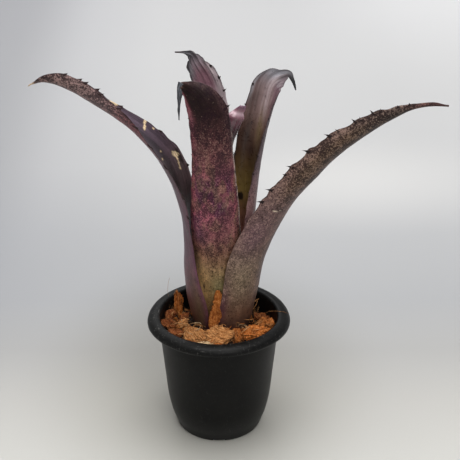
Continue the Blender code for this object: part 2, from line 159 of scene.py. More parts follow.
# =============================================================== node shorthand
class Tree:
    """A material being written: each call adds a node and returns the socket that the next one takes."""

    def __init__(self, name):
        self.mat = bpy.data.materials.new(name)
        self.mat.use_nodes = True
        self.t = self.mat.node_tree
        self.t.nodes.clear()
        self.out = self.t.nodes.new("ShaderNodeOutputMaterial")
        self.bsdf = self.t.nodes.new("ShaderNodeBsdfPrincipled")
        self.t.links.new(self.bsdf.outputs[0], self.out.inputs[0])

    def put(self, node, key, value):
        sock = node.inputs[key]
        if isinstance(value, bpy.types.NodeSocket):
            self.t.links.new(value, sock)
        elif value is not None:
            sock.default_value = value

    def attr(self, name, out="Fac"):
        n = self.t.nodes.new("ShaderNodeAttribute")
        n.attribute_name = name
        return n.outputs[out]

    def obj(self):
        return self.t.nodes.new("ShaderNodeTexCoord").outputs["Object"]

    def math(self, op, a, b=None, clamp=False):
        n = self.t.nodes.new("ShaderNodeMath")
        n.operation = op
        n.use_clamp = clamp
        self.put(n, 0, a)
        if b is not None:
            self.put(n, 1, b)
        return n.outputs[0]

    def scale(self, vec, xyz):
        n = self.t.nodes.new("ShaderNodeVectorMath")
        n.operation = "MULTIPLY"
        self.put(n, 0, vec)
        n.inputs[1].default_value = xyz
        return n.outputs[0]

    def noise(self, vec, scale=1.0, detail=3.0, rough=0.5, distort=0.0):
        n = self.t.nodes.new("ShaderNodeTexNoise")
        self.put(n, "Vector", vec)
        n.inputs["Scale"].default_value = scale
        n.inputs["Detail"].default_value = detail
        n.inputs["Roughness"].default_value = rough
        n.inputs["Distortion"].default_value = distort
        return n.outputs["Fac"]

    def voronoi(self, vec, scale=1.0, feature="F1", out="Distance", randomness=1.0):
        n = self.t.nodes.new("ShaderNodeTexVoronoi")
        n.feature = feature
        self.put(n, "Vector", vec)
        n.inputs["Scale"].default_value = scale
        n.inputs["Randomness"].default_value = randomness
        return n.outputs[out]

    def ramp(self, fac, stops, mode="LINEAR"):
        n = self.t.nodes.new("ShaderNodeValToRGB")
        n.color_ramp.interpolation = mode
        els = n.color_ramp.elements
        while len(els) < len(stops):
            els.new(0.5)
        for e, (pos, col) in zip(els, stops):
            e.position = pos
            e.color = tuple(col) + (1.0,) if len(col) == 3 else tuple(col)
        self.put(n, 0, fac)
        return n.outputs[0]

    def span(self, fac, a, b, lo=0.0, hi=1.0, smoothstep=True):
        n = self.t.nodes.new("ShaderNodeMapRange")
        n.interpolation_type = "SMOOTHSTEP" if smoothstep else "LINEAR"
        self.put(n, "Value", fac)
        self.put(n, "From Min", a)
        self.put(n, "From Max", b)
        self.put(n, "To Min", lo)
        self.put(n, "To Max", hi)
        return n.outputs[0]

    def mix(self, fac, a, b, mode="MIX"):
        n = self.t.nodes.new("ShaderNodeMix")
        n.data_type = "RGBA"
        n.blend_type = mode
        n.clamp_factor = True
        self.put(n, 0, fac)
        for key, v in ((6, a), (7, b)):
            if isinstance(v, (tuple, list)) and len(v) == 3:
                v = tuple(v) + (1.0,)
            self.put(n, key, v)
        return n.outputs[2]

    def hsv(self, col, hue=0.5, sat=1.0, val=1.0):
        n = self.t.nodes.new("ShaderNodeHueSaturation")
        self.put(n, "Hue", hue)
        self.put(n, "Saturation", sat)
        self.put(n, "Value", val)
        self.put(n, "Color", col)
        return n.outputs[0]

    def grey(self, val):
        n = self.t.nodes.new("ShaderNodeCombineColor")
        for k in range(3):
            self.put(n, k, val)
        return n.outputs[0]

    def bumps(self, *layers):
        """Stacked bumps: (height, distance in mm, strength)."""
        last = None
        for height, dist, strength in layers:
            n = self.t.nodes.new("ShaderNodeBump")
            n.inputs["Distance"].default_value = dist * MM
            n.inputs["Strength"].default_value = strength
            self.put(n, "Height", height)
            if last is not None:
                self.put(n, "Normal", last)
            last = n.outputs[0]
        self.put(self.bsdf, "Normal", last)

    def set(self, **kw):
        names = {"color": "Base Color", "rough": "Roughness", "spec": "Specular IOR Level", "metal": "Metallic",
                 "coat": "Coat Weight", "coat_rough": "Coat Roughness", "sheen": "Sheen Weight",
                 "sheen_rough": "Sheen Roughness", "sss": "Subsurface Weight", "ior": "IOR"}
        for k, v in kw.items():
            if isinstance(v, tuple) and len(v) == 3:
                v = v + (1.0,)
            self.put(self.bsdf, names[k], v)
        return self.mat


# =============================================================== camera, light and floor
cam = bpy.data.cameras.new("camera")
cam.sensor_width = 36.0
cam.lens = 109.96
cam.clip_start = 0.05
cam.clip_end = 60.0
cam_ob = bpy.data.objects.new("camera", cam)
cam_ob.location = (0.00825, -0.873, 0.650)
cam_ob.rotation_euler = (math.radians(60.84), 0.0, 0.0)
scene.collection.objects.link(cam_ob)
scene.camera = cam_ob

scene.view_settings.view_transform = "Standard"
scene.view_settings.look = "None"
scene.view_settings.exposure = 0.0
scene.view_settings.gamma = 1.0

world = bpy.data.worlds.new("room")
world.use_nodes = True
world.node_tree.nodes["Background"].inputs[0].default_value = (0.97, 0.98, 1.0, 1.0)
world.node_tree.nodes["Background"].inputs[1].default_value = 0.30
scene.world = world


def area(name, loc, target, size, power, colour=(1, 1, 1), size_y=None):
    la = bpy.data.lights.new(name, "AREA")
    la.energy = power
    la.color = colour
    la.shape = "RECTANGLE"
    la.size = size
    la.size_y = size_y or size
    ob = bpy.data.objects.new(name, la)
    ob.location = loc
    ob.rotation_euler = (Vector(target) - Vector(loc)).to_track_quat("-Z", "Y").to_euler()
    scene.collection.objects.link(ob)
    return ob


area("softbox_top", (0.0, -0.05, 1.2), (0.0, 0.0, 0.1), 0.9, 10.5, (1.0, 0.99, 0.975))
area("softbox_front", (0.34, -1.25, 1.25), (0.0, 0.0, 0.10), 0.75, 8.5, (1.0, 0.985, 0.96))
area("softbox_back", (-0.35, 1.6, 1.3), (0.0, 0.0, 0.2), 1.0, 4.5, (0.98, 0.985, 1.0))
sky = bpy.data.lights.new("skylight", "SUN")
sky.energy = 0.98
sky.angle = math.radians(70)
sky.color = (1.0, 0.992, 0.98)
sky_ob = bpy.data.objects.new("skylight", sky)
sky_ob.rotation_euler = (math.radians(-14), math.radians(4), 0)
scene.collection.objects.link(sky_ob)


def build_floor():
    # flat paper sheet that sweeps up far behind the plant on every side, like a studio cove
    radii = [0.0] + [0.5 * k for k in range(1, 7)] + [3.0 + 0.25 * k for k in range(1, 25)]
    seg = 96
    verts, faces = [(0.0, 0.0, 0.0)], []
    for rad in radii[1:]:
        rise = 3.2 * float(smooth(3.0, 9.0, rad)) ** 1.2
        for k in range(seg):
            a = 2 * math.pi * k / seg
            verts.append((rad * math.cos(a), rad * math.sin(a), rise))
    for k in range(seg):
        faces.append((0, 1 + k, 1 + (k + 1) % seg))
    for i in range(len(radii) - 2):
        for k in range(seg):
            a, b = 1 + i * seg + k, 1 + i * seg + (k + 1) % seg
            faces.append((a, a + seg, b + seg, b))
    me = bpy.data.meshes.new("floor")
    me.from_pydata(verts, [], faces)
    me.shade_smooth()
    ob = bpy.data.objects.new("floor", me)
    ob.location = (0, 0, -0.0002)
    scene.collection.objects.link(ob)
    t = Tree("floor_paper")
    o = t.obj()
    xyz = t.t.nodes.new("ShaderNodeSeparateXYZ")
    t.put(xyz, 0, o)
    # painted light and shade: along the floor the colour is darker in a broad band just behind the plant, where its
    # shadow falls, and lighter in front and far behind
    depth = t.ramp(t.span(xyz.outputs[1], -0.4, 1.4, 0.0, 1.0, False), [
        (0.00, (0.520, 0.518, 0.500)), (0.195, (0.515, 0.512, 0.488)), (0.235, (0.455, 0.450, 0.432)),
        (0.272, (0.385, 0.384, 0.380)), (0.315, (0.375, 0.381, 0.392)), (0.38, (0.425, 0.431, 0.442)),
        (0.46, (0.520, 0.523, 0.528)), (0.62, (0.620, 0.622, 0.626)), (0.72, (0.660, 0.661, 0.668)), (1.00, (0.700, 0.700, 0.710))])
    # painted light: across the floor the colour dips on the left and rises on the right, as the lamp light falls off
    across = t.ramp(t.span(xyz.outputs[0], -1.0, 1.0, 0.0, 1.0, False), [
        (0.0, (1.0, 1.0, 1.0)), (0.12, (0.98, 0.98, 0.98)), (0.315, (0.70, 0.705, 0.73)), (0.37, (0.80, 0.805, 0.835)),
        (0.46, (0.99, 0.99, 0.99)), (0.6, (1.0, 1.0, 1.0)), (0.75, (1.12, 1.12, 1.12)), (1.0, (1.0, 1.0, 1.0))])
    # painted light: a pale pool on the paper behind and right of the plant, where the lamp light falls brightest
    painted_light_pool = t.t.nodes.new("ShaderNodeVectorMath")
    painted_light_pool.operation = "DISTANCE"
    t.put(painted_light_pool, 0, t.scale(o, (0.55, 1.0, 0.0)))
    painted_light_pool.inputs[1].default_value = (0.075, 0.40, 0.0)
    # painted light: the left-right gradient is mixed in behind the plant; farther back the left is painted darker and
    # the far right lighter
    far = t.span(xyz.outputs[1], -0.1, 0.25, 0.0, 1.0)
    col = t.mix(far, depth, t.mix(1.0, depth, across, "MULTIPLY"))
    distant = t.span(xyz.outputs[1], 0.10, 0.45, 0.0, 1.0)
    col = t.mix(distant, col, t.mix(1.0, col, t.grey(t.span(xyz.outputs[0], -0.26, -0.16, 0.82, 1.0)), "MULTIPLY"))
    farthest = t.span(xyz.outputs[1], 0.60, 1.00, 0.0, 1.0)
    col = t.mix(farthest, col, t.mix(1.0, col, t.grey(t.span(xyz.outputs[0], 0.06, 0.26, 1.0, 1.18)), "MULTIPLY"))
    # painted light: the pale pool is mixed into the paper's colour
    col = t.mix(t.span(painted_light_pool.outputs["Value"], 0.13, 0.0, 0.0, 0.60), col, (0.66, 0.655, 0.645))
    # painted shadow: a soft darker ring on the paper round the pot, reaching farther behind it
    ring = t.t.nodes.new("ShaderNodeVectorMath")
    ring.operation = "DISTANCE"
    t.put(ring, 0, t.scale(o, (1.0, 0.75, 0.0)))
    ring.inputs[1].default_value = (-0.012, 0.045, 0.0)
    col = t.mix(t.span(ring.outputs["Value"], 0.045, 0.155, 1.0, 0.0), col, t.mix(1.0, col, (0.80, 0.79, 0.755), "MULTIPLY"))
    # farther out than the table the paper is one even pale grey
    reach = t.t.nodes.new("ShaderNodeVectorMath")
    reach.operation = "LENGTH"
    t.put(reach, 0, o)
    col = t.mix(t.span(reach.outputs["Value"], 1.15, 2.1, 0.0, 1.0), col, (0.64, 0.64, 0.645))
    grain = t.noise(o, 900.0, 2.0)
    col = t.mix(0.03, col, t.grey(grain), "OVERLAY")
    t.bumps((grain, 0.02, 0.15))
    t.set(color=col, rough=0.6, spec=0.2)
    me.materials.append(t.mat)


build_floor()


# =============================================================== leaves
# Stations on the midrib, in mm: x, y, z, width, half wrap (deg), facing (deg), side rise (deg)
LEAVES = {
    "leaf_left": [
        (-13, 15, 62, 36, 68, 172, 0), (-19, 16, 84, 53.5, 72, 173, 0), (-23, 15, 103.5, 61, 69, 176, -2),
        (-24.5, 15, 124.5, 54, 50, 179, -5), (-24.5, 13.5, 147.5, 46, 36, 181, -8), (-25.5, 12, 168, 44, 31, 181, -16),
        (-29, 10, 186.5, 46, 43, 181, -22), (-34.5, 7, 206, 45, 40, 182, -19), (-43.5, 4, 223.5, 39.5, 33, 183, -8),
        (-56, 1, 239, 35, 34, 184, 2), (-71.5, -4, 254, 32.5, 50, 184, 20), (-87.5, -8, 267.5, 31, 68, 184, 22),
        (-100, -11, 276.5, 29, 77, 184, 27), (-110, -13, 281.5, 21, 79, 184, 28), (-117, -14, 283, 12, 63, 184, 25),
        (-122.5, -15, 282, 4, 37, 184, 23)],
    "leaf_right": [
        (16.5, 8, 62, 41.5, 78, -20, 0), (21.5, 5, 84, 56, 75, -24, 0), (25.5, 1, 111, 54.5, 68, -30, -1),
        (30, 1, 136, 56, 71, -30, -5), (39, -1.5, 162, 52.5, 70, -30, -10), (50.5, -7.5, 188.5, 43, 71, -30, -18),
        (65.5, -16, 213.5, 37.5, 72, -30, -29), (81, -25, 236, 33, 73, -30, -31), (97, -33, 253.5, 26, 74, -30, -32),
        (112, -40, 267.5, 18.5, 76, -30, -32), (127.5, -46, 278, 9, 74, -28, -29), (139.5, -49, 281.5, 6, 59, -28, -29),
        (148, -51, 282, 3.5, 30, -28, -30)],
    "leaf_front": [
        (1.5, 0.5, 62, 31, 70, -92, 0), (1.5, -3.5, 84, 40, 68, -92, 0), (0, -4, 108, 40, 64, -92, 0),
        (-0.5, -6.5, 136, 41.5, 59, -92, 0), (-2, -12, 166, 40, 52, -91, 0), (-2.5, -17, 196, 37, 51, -90, 0),
        (-3.5, -22, 228, 32.5, 52, -90, 0), (-5, -25, 252, 31, 48, -90, 4), (-7, -26, 265, 29.5, 47, -90, 16),
        (-12, -25, 274, 25.5, 40, -92, 36), (-20, -22, 280.5, 13, 30, -95, 60), (-24.5, -19, 281.5, 4.5, 20, -98, 98),
        (-25.5, -18, 276, 1.6, 15, -98, 160), (-26, -18, 266, 1.2, 10, -95, 180), (-25.8, -18, 257, 0.9, 5, -90, 180)],
    "leaf_back_left": [
        (-4, 24, 62, 29, 66, 118, 0), (-5.5, 28.5, 84, 36.5, 62, 116, 0), (-4.5, 33.5, 112, 37.5, 60, 110, 0),
        (-5, 39.5, 145, 29, 48, 104, 0), (-5.5, 43, 181, 27.5, 48, 102, 0), (-4, 43.5, 215, 26, 45, 98, 0),
        (-4.5, 44, 241.5, 23, 42, 96, -3), (-9.5, 44, 261, 21, 42, 96, -13), (-16, 44, 273, 14, 42, 96, -23),
        (-19, 43, 279.5, 6.5, 43, 98, -39), (-23, 41, 281.5, 2.4, 30, 100, -60), (-30, 38, 283, 1.0, 20, 100, -90)],
    "leaf_back_right": [
        (10, 19, 62, 28, 80, 36, 0), (12.5, 20.5, 84, 33, 76, 34, 0), (16.5, 22.5, 112.5, 38, 80, 30, -1),
        (23.5, 24.5, 146, 38.5, 79, 18, -4), (26, 28.5, 177, 36, 82, 23, -6), (27.5, 34, 203, 35.5, 85, 39, -8),
        (31, 39, 228.5, 32.5, 82, 50, -7), (34.5, 43, 246.5, 27.5, 70, 58, 0), (38, 46, 256.5, 23, 54, 61, 16),
        (43.8, 47.5, 260.6, 13.0, 40, 62, 44), (50.4, 47.5, 262.2, 4.6, 30, 62, 80), (52.6, 47, 258.2, 3.2, 20, 62, 132),
        (54.9, 46, 250.8, 1, 10, 62, 160)],
    "leaf_centre_young": [
        (3.5, 5.5, 64, 26, 100, -80, 0), (3.5, 6, 86, 27, 105, -80, 0), (2.5, 4.5, 120, 29.5, 105, -75, 0),
        (1.5, 4, 159.5, 29, 100, -70, 0), (2.5, 4, 199.5, 27.5, 96, -60, 0), (7.5, 4, 229.5, 25, 88, -55, 0),
        (14.5, 4, 247.5, 19.5, 78, -55, 12), (18, 5, 257, 5.5, 60, -55, 40)],
}


def stations(rows, fr):
    a = np.array(rows, float)
    p = a[:, :3]
    d = np.concatenate([[0], np.cumsum(np.linalg.norm(np.diff(p, axis=0), axis=1))])
    m = np.zeros_like(a)
    m[0] = (a[1] - a[0]) / (d[1] - d[0])
    m[-1] = (a[-1] - a[-2]) / (d[-1] - d[-2])
    for i in range(1, len(a) - 1):
        h0, h1 = d[i] - d[i - 1], d[i + 1] - d[i]
        m[i] = ((a[i] - a[i - 1]) / h0 * h1 + (a[i + 1] - a[i]) / h1 * h0) / (h0 + h1)
    t = fr * d[-1]
    i = np.clip(np.searchsorted(d, t, side="right") - 1, 0, len(a) - 2)
    h = (d[i + 1] - d[i])[:, None]
    u = ((t - d[i]) / h[:, 0])[:, None]
    out = ((2 * u ** 3 - 3 * u ** 2 + 1) * a[i] + (u ** 3 - 2 * u ** 2 + u) * h * m[i]
           + (-2 * u ** 3 + 3 * u ** 2) * a[i + 1] + (u ** 3 - u ** 2) * h * m[i + 1])
    return out, d[-1]


def frames(s):
    p = s[:, :3]
    t = np.gradient(p, axis=0)
    t /= np.linalg.norm(t, axis=1)[:, None]
    f, e = np.radians(s[:, 5]), np.radians(s[:, 6])
    side = np.stack([-np.sin(f) * np.cos(e), np.cos(f) * np.cos(e), np.sin(e)], 1)
    side -= t * (side * t).sum(1)[:, None]
    side /= np.linalg.norm(side, axis=1)[:, None]
    return p, t, side, np.cross(t, side)


def thickness(f):
    return np.where(f < 0.35, 1.9 + (1.45 - 1.9) * f / 0.35, 1.45 + (0.8 - 1.45) * (f - 0.35) / 0.65)


class Leaf:
    """A channelled strap with a real thickness: an arc section carried along the midrib.
    u runs -1..1 across, f 0..1 along; side 0 is the inner (channel) face and 1 the outer face."""

    def __init__(self, name, cols=57, step=0.95):
        self.name = name
        rows = LEAVES[name]
        _, self.length = stations(rows, np.array([0.0]))
        n = int(self.length / step) + 1
        self.f = np.linspace(0, 1, n)
        self.s, _ = stations(rows, self.f)
        self.p, self.t, self.sd, self.nn = frames(self.s)
        # columns crowd towards the margins, where the edge turns
        k = np.linspace(-1, 1, cols)
        self.u = np.sin(k * math.pi / 2 * 0.93) / math.sin(math.pi / 2 * 0.93)
        self.n, self.m = n, cols
        self.F, self.U = np.meshgrid(self.f, self.u, indexing="ij")
        self.push = np.zeros((2, n, cols))       # offsets along the section normal, mm (inner face, outer face)
        self.out = np.zeros((n, cols))           # outward shift in the section plane at the margins, mm
        self.width = np.maximum(self.s[:, 3], 0.9)
        self.wrap = np.radians(np.maximum(self.s[:, 4], 5.0))

    def flat(self, f, u):
        """Arc position across (mm) and distance along (mm)."""
        w = np.interp(f, self.f, self.width)
        return u * w / 2, f * self.length

    def at(self, f, u, lift=0.0):
        """Point, tangent, outward direction and section normal at (f, u); f and u are numbers."""
        s, _ = stations(LEAVES[self.name], np.array([f - 0.004, f, f + 0.004]))
        p, t, sd, nn = frames(s)
        p, t, sd, nn = p[1], t[1], sd[1], nn[1]
        w, wr = max(s[1, 3], 0.9), math.radians(max(s[1, 4], 5.0))
        r = w / (2 * wr)
        a = wr * u
        pt = p + sd * (r - lift) * math.sin(a) + nn * (r - (r - lift) * math.cos(a))
        along = sd * math.cos(a) + nn * math.sin(a)
        norm = -sd * math.sin(a) + nn * math.cos(a)
        return pt, t, along * (1 if u >= 0 else -1), norm

    def surface(self):
        u, f = self.u[None, :], self.f[:, None]
        wr, w = self.wrap[:, None], self.width[:, None]
        r = w / (2 * wr)
        a = wr * u
        th = np.minimum(thickness(self.f)[:, None], w * 0.5)
        prof = 1 - 0.52 * u ** 2
        # the last bit of each margin is a thin rounded lip
        lip = 1 - 0.55 * smooth(0.955, 1.0, np.abs(u))
        th = th * prof * lip
        faces = []
        for side, sg in ((0, 1), (1, -1)):
            off = sg * th / 2 + self.push[side]
            rr = r - off
            pts = (self.p[:, None, :] + self.sd[:, None, :] * (rr * np.sin(a))[..., None]
                   + self.nn[:, None, :] * (r - rr * np.cos(a))[..., None])
            edge = (self.sd[:, None, :] * (np.cos(a) * np.sign(u))[..., None]
                    + self.nn[:, None, :] * np.abs(np.sin(a))[..., None])
            pts = pts + edge * self.out[..., None]
            faces.append(pts)
        return faces

    def mesh(self, paint, extra=()):
        """paint(F, U, side) gives a dict of vertex data; extra holds (verts_mm, faces, data) islands to join."""
        inner, outer = self.surface()
        n, m = self.n, self.m
        mid = {}
        # margin vertices between the faces round the lip off
        rim = []
        for col, sg in ((0, -1), (m - 1, 1)):
            c = (inner[:, col] + outer[:, col]) / 2
            a = self.wrap * self.u[col]
            edge = self.sd * (np.cos(a) * sg)[:, None] + self.nn * np.abs(np.sin(a))[:, None]
            rim.append(c + edge * 0.16 * np.minimum(self.width / 6, 1)[:, None])
        ring = np.concatenate([inner, rim[1][:, None, :], outer[:, ::-1], rim[0][:, None, :]], 1)
        k = ring.shape[1]
        verts = ring.reshape(-1, 3)
        quads = grid_faces(n, k, close=True)
        # end caps: a centre line of quads across the section
        tris = []
        caps = []
        for row, flip in ((0, True), (n - 1, False)):
            base = row * k
            for j in range(m - 1):
                a, b = base + j, base + j + 1
                c, d = base + (m + 1) + (m - 1 - (j + 1)), base + (m + 1) + (m - 1 - j)
                caps.append((a, b, c, d) if not flip else (d, c, b, a))
            a, b, c = base + m - 1, base + m, base + m + 1
            tris.append((a, b, c) if not flip else (c, b, a))
            a, b, c = base + 2 * m, base + 2 * m + 1, base
            tris.append((a, b, c) if not flip else (c, b, a))
        quads = np.concatenate([quads, np.array(caps)])
        # per-vertex data
        sides = np.zeros((n, k))
        U = np.zeros((n, k))
        U[:, :m] = self.u
        U[:, m] = 1.0
        U[:, m + 1:2 * m + 1] = self.u[::-1]
        U[:, 2 * m + 1] = -1.0
        sides[:, m + 1:2 * m + 1] = 1
        sides[:, m] = sides[:, 2 * m + 1] = 0.5
        F = np.repeat(self.f[:, None], k, 1)
        data = paint(F.ravel(), U.ravel(), sides.ravel(), verts)
        x, y = self.flat(F.ravel(), U.ravel())
        data["luv"] = np.stack([x, y, sides.ravel() * 40.0], 1)
        # which way round the faces look
        mesh_v, all_q, all_t = [verts], [quads], [np.array(tris)]
        at = len(verts)
        cat = {key: [v] for key, v in data.items()}
        for ev, eq, et, ed in extra:
            mesh_v.append(ev)
            if len(eq):
                all_q.append(np.asarray(eq) + at)
            if len(et):
                all_t.append(np.asarray(et) + at)
            for key in cat:
                cat[key].append(ed[key])
            at += len(ev)
        verts = np.concatenate(mesh_v) * MM
        me = fast_mesh(self.name + "_live", verts, np.concatenate(all_q), np.concatenate(all_t))
        for key, parts in cat.items():
            v = np.concatenate(parts)
            kind = "FLOAT" if v.ndim == 1 else "FLOAT_VECTOR" if v.shape[1] == 3 and key == "luv" else "FLOAT_COLOR"
            if kind == "FLOAT_COLOR" and v.shape[1] == 3:
                v = np.concatenate([v, np.ones((len(v), 1))], 1)
            set_attr(me, key, kind, v)
        # outward faces
        bm = bmesh.new()
        bm.from_mesh(me)
        bmesh.ops.recalc_face_normals(bm, faces=bm.faces)
        bm.to_mesh(me)
        bm.free()
        return me


def spine(leaf, f, sgn, size, hook, colour, base=3.0, thick=0.62, seg=9, rings=11):
    """A hooked marginal spine: a flattened horn whose foot is buried in the margin.
    hook is how far its tip leans along the leaf (mm, towards the tip if positive)."""
    size, hook = size * 1.36, hook * 1.45
    pt, t, out, norm = leaf.at(f, sgn * 1.0)
    verts, quads, tris = [], [], []
    for i in range(rings):
        k = i / (rings - 1)
        c = pt + out * (-0.9 + (size + 0.9) * k) + t * (hook * k ** 1.7) + norm * (0.15 * math.sin(7 * f * 50) * k)
        half = base * (1 - k) ** 1.55 + 0.05
        th = thick * (1 - 0.9 * k) + 0.03
        lean = t * math.cos(0) - out * (hook * 1.7 * k ** 0.7 / (size + 0.9)) * 0.4
        lean = lean / np.linalg.norm(lean)
        for j in range(seg):
            a = 2 * math.pi * j / seg
            verts.append(c + lean * half * math.cos(a) + norm * th * math.sin(a))
    for i in range(rings - 1):
        for j in range(seg):
            a, b = i * seg + j, i * seg + (j + 1) % seg
            quads.append((a, b, b + seg, a + seg))
    verts = np.array(verts)
    n0 = len(verts)
    verts = np.concatenate([verts, [verts[:seg].mean(0)], [verts[-seg:].mean(0)]])
    for j in range(seg):
        tris.append((n0, (j + 1) % seg, j))
        tris.append((n0 + 1, (rings - 1) * seg + j, (rings - 1) * seg + (j + 1) % seg))
    k = np.concatenate([np.repeat(np.linspace(0, 1, rings), seg), [0, 1]])
    x, y = leaf.flat(f, sgn * 1.0)
    n = len(verts)
    data = {
        "tint": np.array(colour)[None, :] * (1 - 0.35 * smooth(0.0, 0.6, k))[:, None],
        "spk": np.zeros(n), "scf": 0.15 * (1 - k), "dry": np.zeros(n), "gloss": np.full(n, 0.1),
        "luv": np.stack([np.full(n, x), y + k * size, np.full(n, 20.0)], 1)}
    return verts, quads, tris, data


def keyed(x, stops):
    """Colours keyed at positions."""
    pos = [s[0] for s in stops]
    cols = np.array([s[1] for s in stops], float)
    return np.stack([np.interp(x, pos, cols[:, c]) for c in range(3)], 1)


def over(base, colour, mask):
    m = np.clip(mask, 0, 1)[:, None]
    return base * (1 - m) + np.array(colour)[None, :] * m


def leaf_material(name, dark, pale, rough=0.42, coat=0.0, cell=0.5, lines=0.16, mottle=0.5, keep=0.55, own=0.42):
    """Leathery, faintly ribbed leaf skin. Vertex data carries the large zones; the nodes bring the
    streaks, dark blotches, pale mesh, scurf and ribs at their own scale (mm in luv)."""
    t = Tree(name)
    luv = t.attr("luv", "Vector")
    tint = t.attr("tint", "Color")
    spk, scf, dry, gloss = (t.attr(k) for k in ("spk", "scf", "dry", "gloss"))
    big = t.noise(t.scale(luv, (0.085, 0.060, 1.0)), 1.0, 3.0, 0.6, 0.3)
    mid = t.noise(t.scale(luv, (0.27, 0.21, 1.0)), 1.0, 4.0, 0.6, 0.5)
    cells = t.noise(t.scale(luv, (cell * 1.1, cell * 0.85, 1.0)), 1.0, 3.0, 0.62, 0.9)
    net = t.noise(t.scale(luv, (1.20, 0.95, 1.0)), 1.0, 2.0, 0.6, 0.6)
    fine = t.noise(t.scale(luv, (3.4, 2.7, 1.0)), 1.0, 3.0, 0.6)
    streaks = t.noise(t.scale(luv, (1.25, 0.035, 1.0)), 1.0, 4.0, 0.62)
    v = t.math("ADD", t.math("MULTIPLY", cells, 0.44), t.math("ADD", t.math("MULTIPLY", net, 0.40), t.math("MULTIPLY", mid, 0.16)))
    col = t.mix(1.0, tint, t.grey(t.span(streaks, 0.30, 0.70, 1 - lines, 1 + lines, False)), "MULTIPLY")
    col = t.mix(1.0, col, t.grey(t.span(mid, 0.30, 0.70, 1 - mottle * 0.45, 1 + mottle * 0.45, False)), "MULTIPLY")
    # dark blotches run together where spk is high; the broad clouds shift them about
    amount = t.math("MULTIPLY", spk, t.span(big, 0.36, 0.64, 1.45, 0.55, False))
    lim = t.span(amount, 0.0, 1.0, 0.375, 0.590, False)
    spots = t.span(t.math("SUBTRACT", lim, v), -0.012, 0.050, 0.0, 1.0)
    deep = t.mix(keep, t.mix(1.0, col, (0.24, 0.20, 0.24), "MULTIPLY"), dark)
    inked = t.mix(t.math("MULTIPLY", spots, t.span(fine, 0.30, 0.66, 1.0, 0.72)), col, deep)
    # lone pin-prick flecks
    pin = t.voronoi(t.scale(luv, (0.42, 0.34, 1.0)), 1.0)
    pins = t.math("MULTIPLY", t.span(pin, 0.20, 0.10, 0.0, 1.0), t.span(t.math("MULTIPLY", spk, mid), 0.02, 0.16, 0.0, 0.85))
    inked = t.mix(pins, inked, deep)
    # the pale mesh of scurf on the crests of the same pattern
    top = t.span(t.math("MULTIPLY", scf, t.span(big, 0.36, 0.64, 0.7, 1.25, False)), 0.0, 1.0, 0.640, 0.470, False)
    crest = t.span(t.math("SUBTRACT", v, top), -0.015, 0.055, 0.0, 1.0)
    crest = t.math("MULTIPLY", crest, t.span(scf, 0.02, 0.20, 0.0, 1.0))
    light = t.mix(own, t.mix(1.0, col, (2.3, 2.15, 2.1), "MULTIPLY"), pale)
    skin = t.mix(t.math("MULTIPLY", crest, t.span(fine, 0.32, 0.62, 0.45, 0.95)), inked, light)
    # scales as separate pale dots, only seen from near
    dot = t.voronoi(t.scale(luv, (1.5, 1.1, 1.0)), 1.0, randomness=0.9)
    dots = t.math("MULTIPLY", t.math("MULTIPLY", t.span(dot, 0.34, 0.14, 0.0, 0.55), scf), t.span(net, 0.40, 0.60, 0.2, 1.0))
    skin = t.mix(dots, skin, light)
    # withered, papery parts
    crack = t.noise(t.scale(luv, (2.2, 0.12, 1.0)), 1.0, 4.0, 0.65)
    papery = t.mix(t.span(crack, 0.40, 0.62, 0.0, 0.8), t.hsv(col, 0.5, 0.8, 1.35), t.hsv(col, 0.5, 0.9, 0.35))
    skin = t.mix(dry, skin, papery)
    rise = t.math("MAXIMUM", crest, dots)
    r = t.math("ADD", rough, t.math("MULTIPLY", rise, 0.20))
    r = t.math("ADD", r, t.span(mid, 0.3, 0.7, -0.05, 0.05, False))
    r = t.math("ADD", r, t.math("MULTIPLY", dry, 0.28))
    r = t.math("SUBTRACT", r, t.math("MULTIPLY", gloss, 0.20), True)
    ribs = t.noise(t.scale(luv, (2.4, 0.02, 1.0)), 1.0, 2.0, 0.5)
    t.bumps((ribs, 0.20, 0.45), (mid, 0.7, 0.30), (t.math("SUBTRACT", rise, t.math("MULTIPLY", spots, 0.5)), 0.07, 0.55),
            (fine, 0.05, 0.5), (t.math("MULTIPLY", crack, dry), 0.35, 0.6))
    t.set(color=skin, rough=r, spec=t.span(gloss, 0.0, 1.0, 0.12, 0.62, False), coat=coat, coat_rough=0.25)
    return t.mat


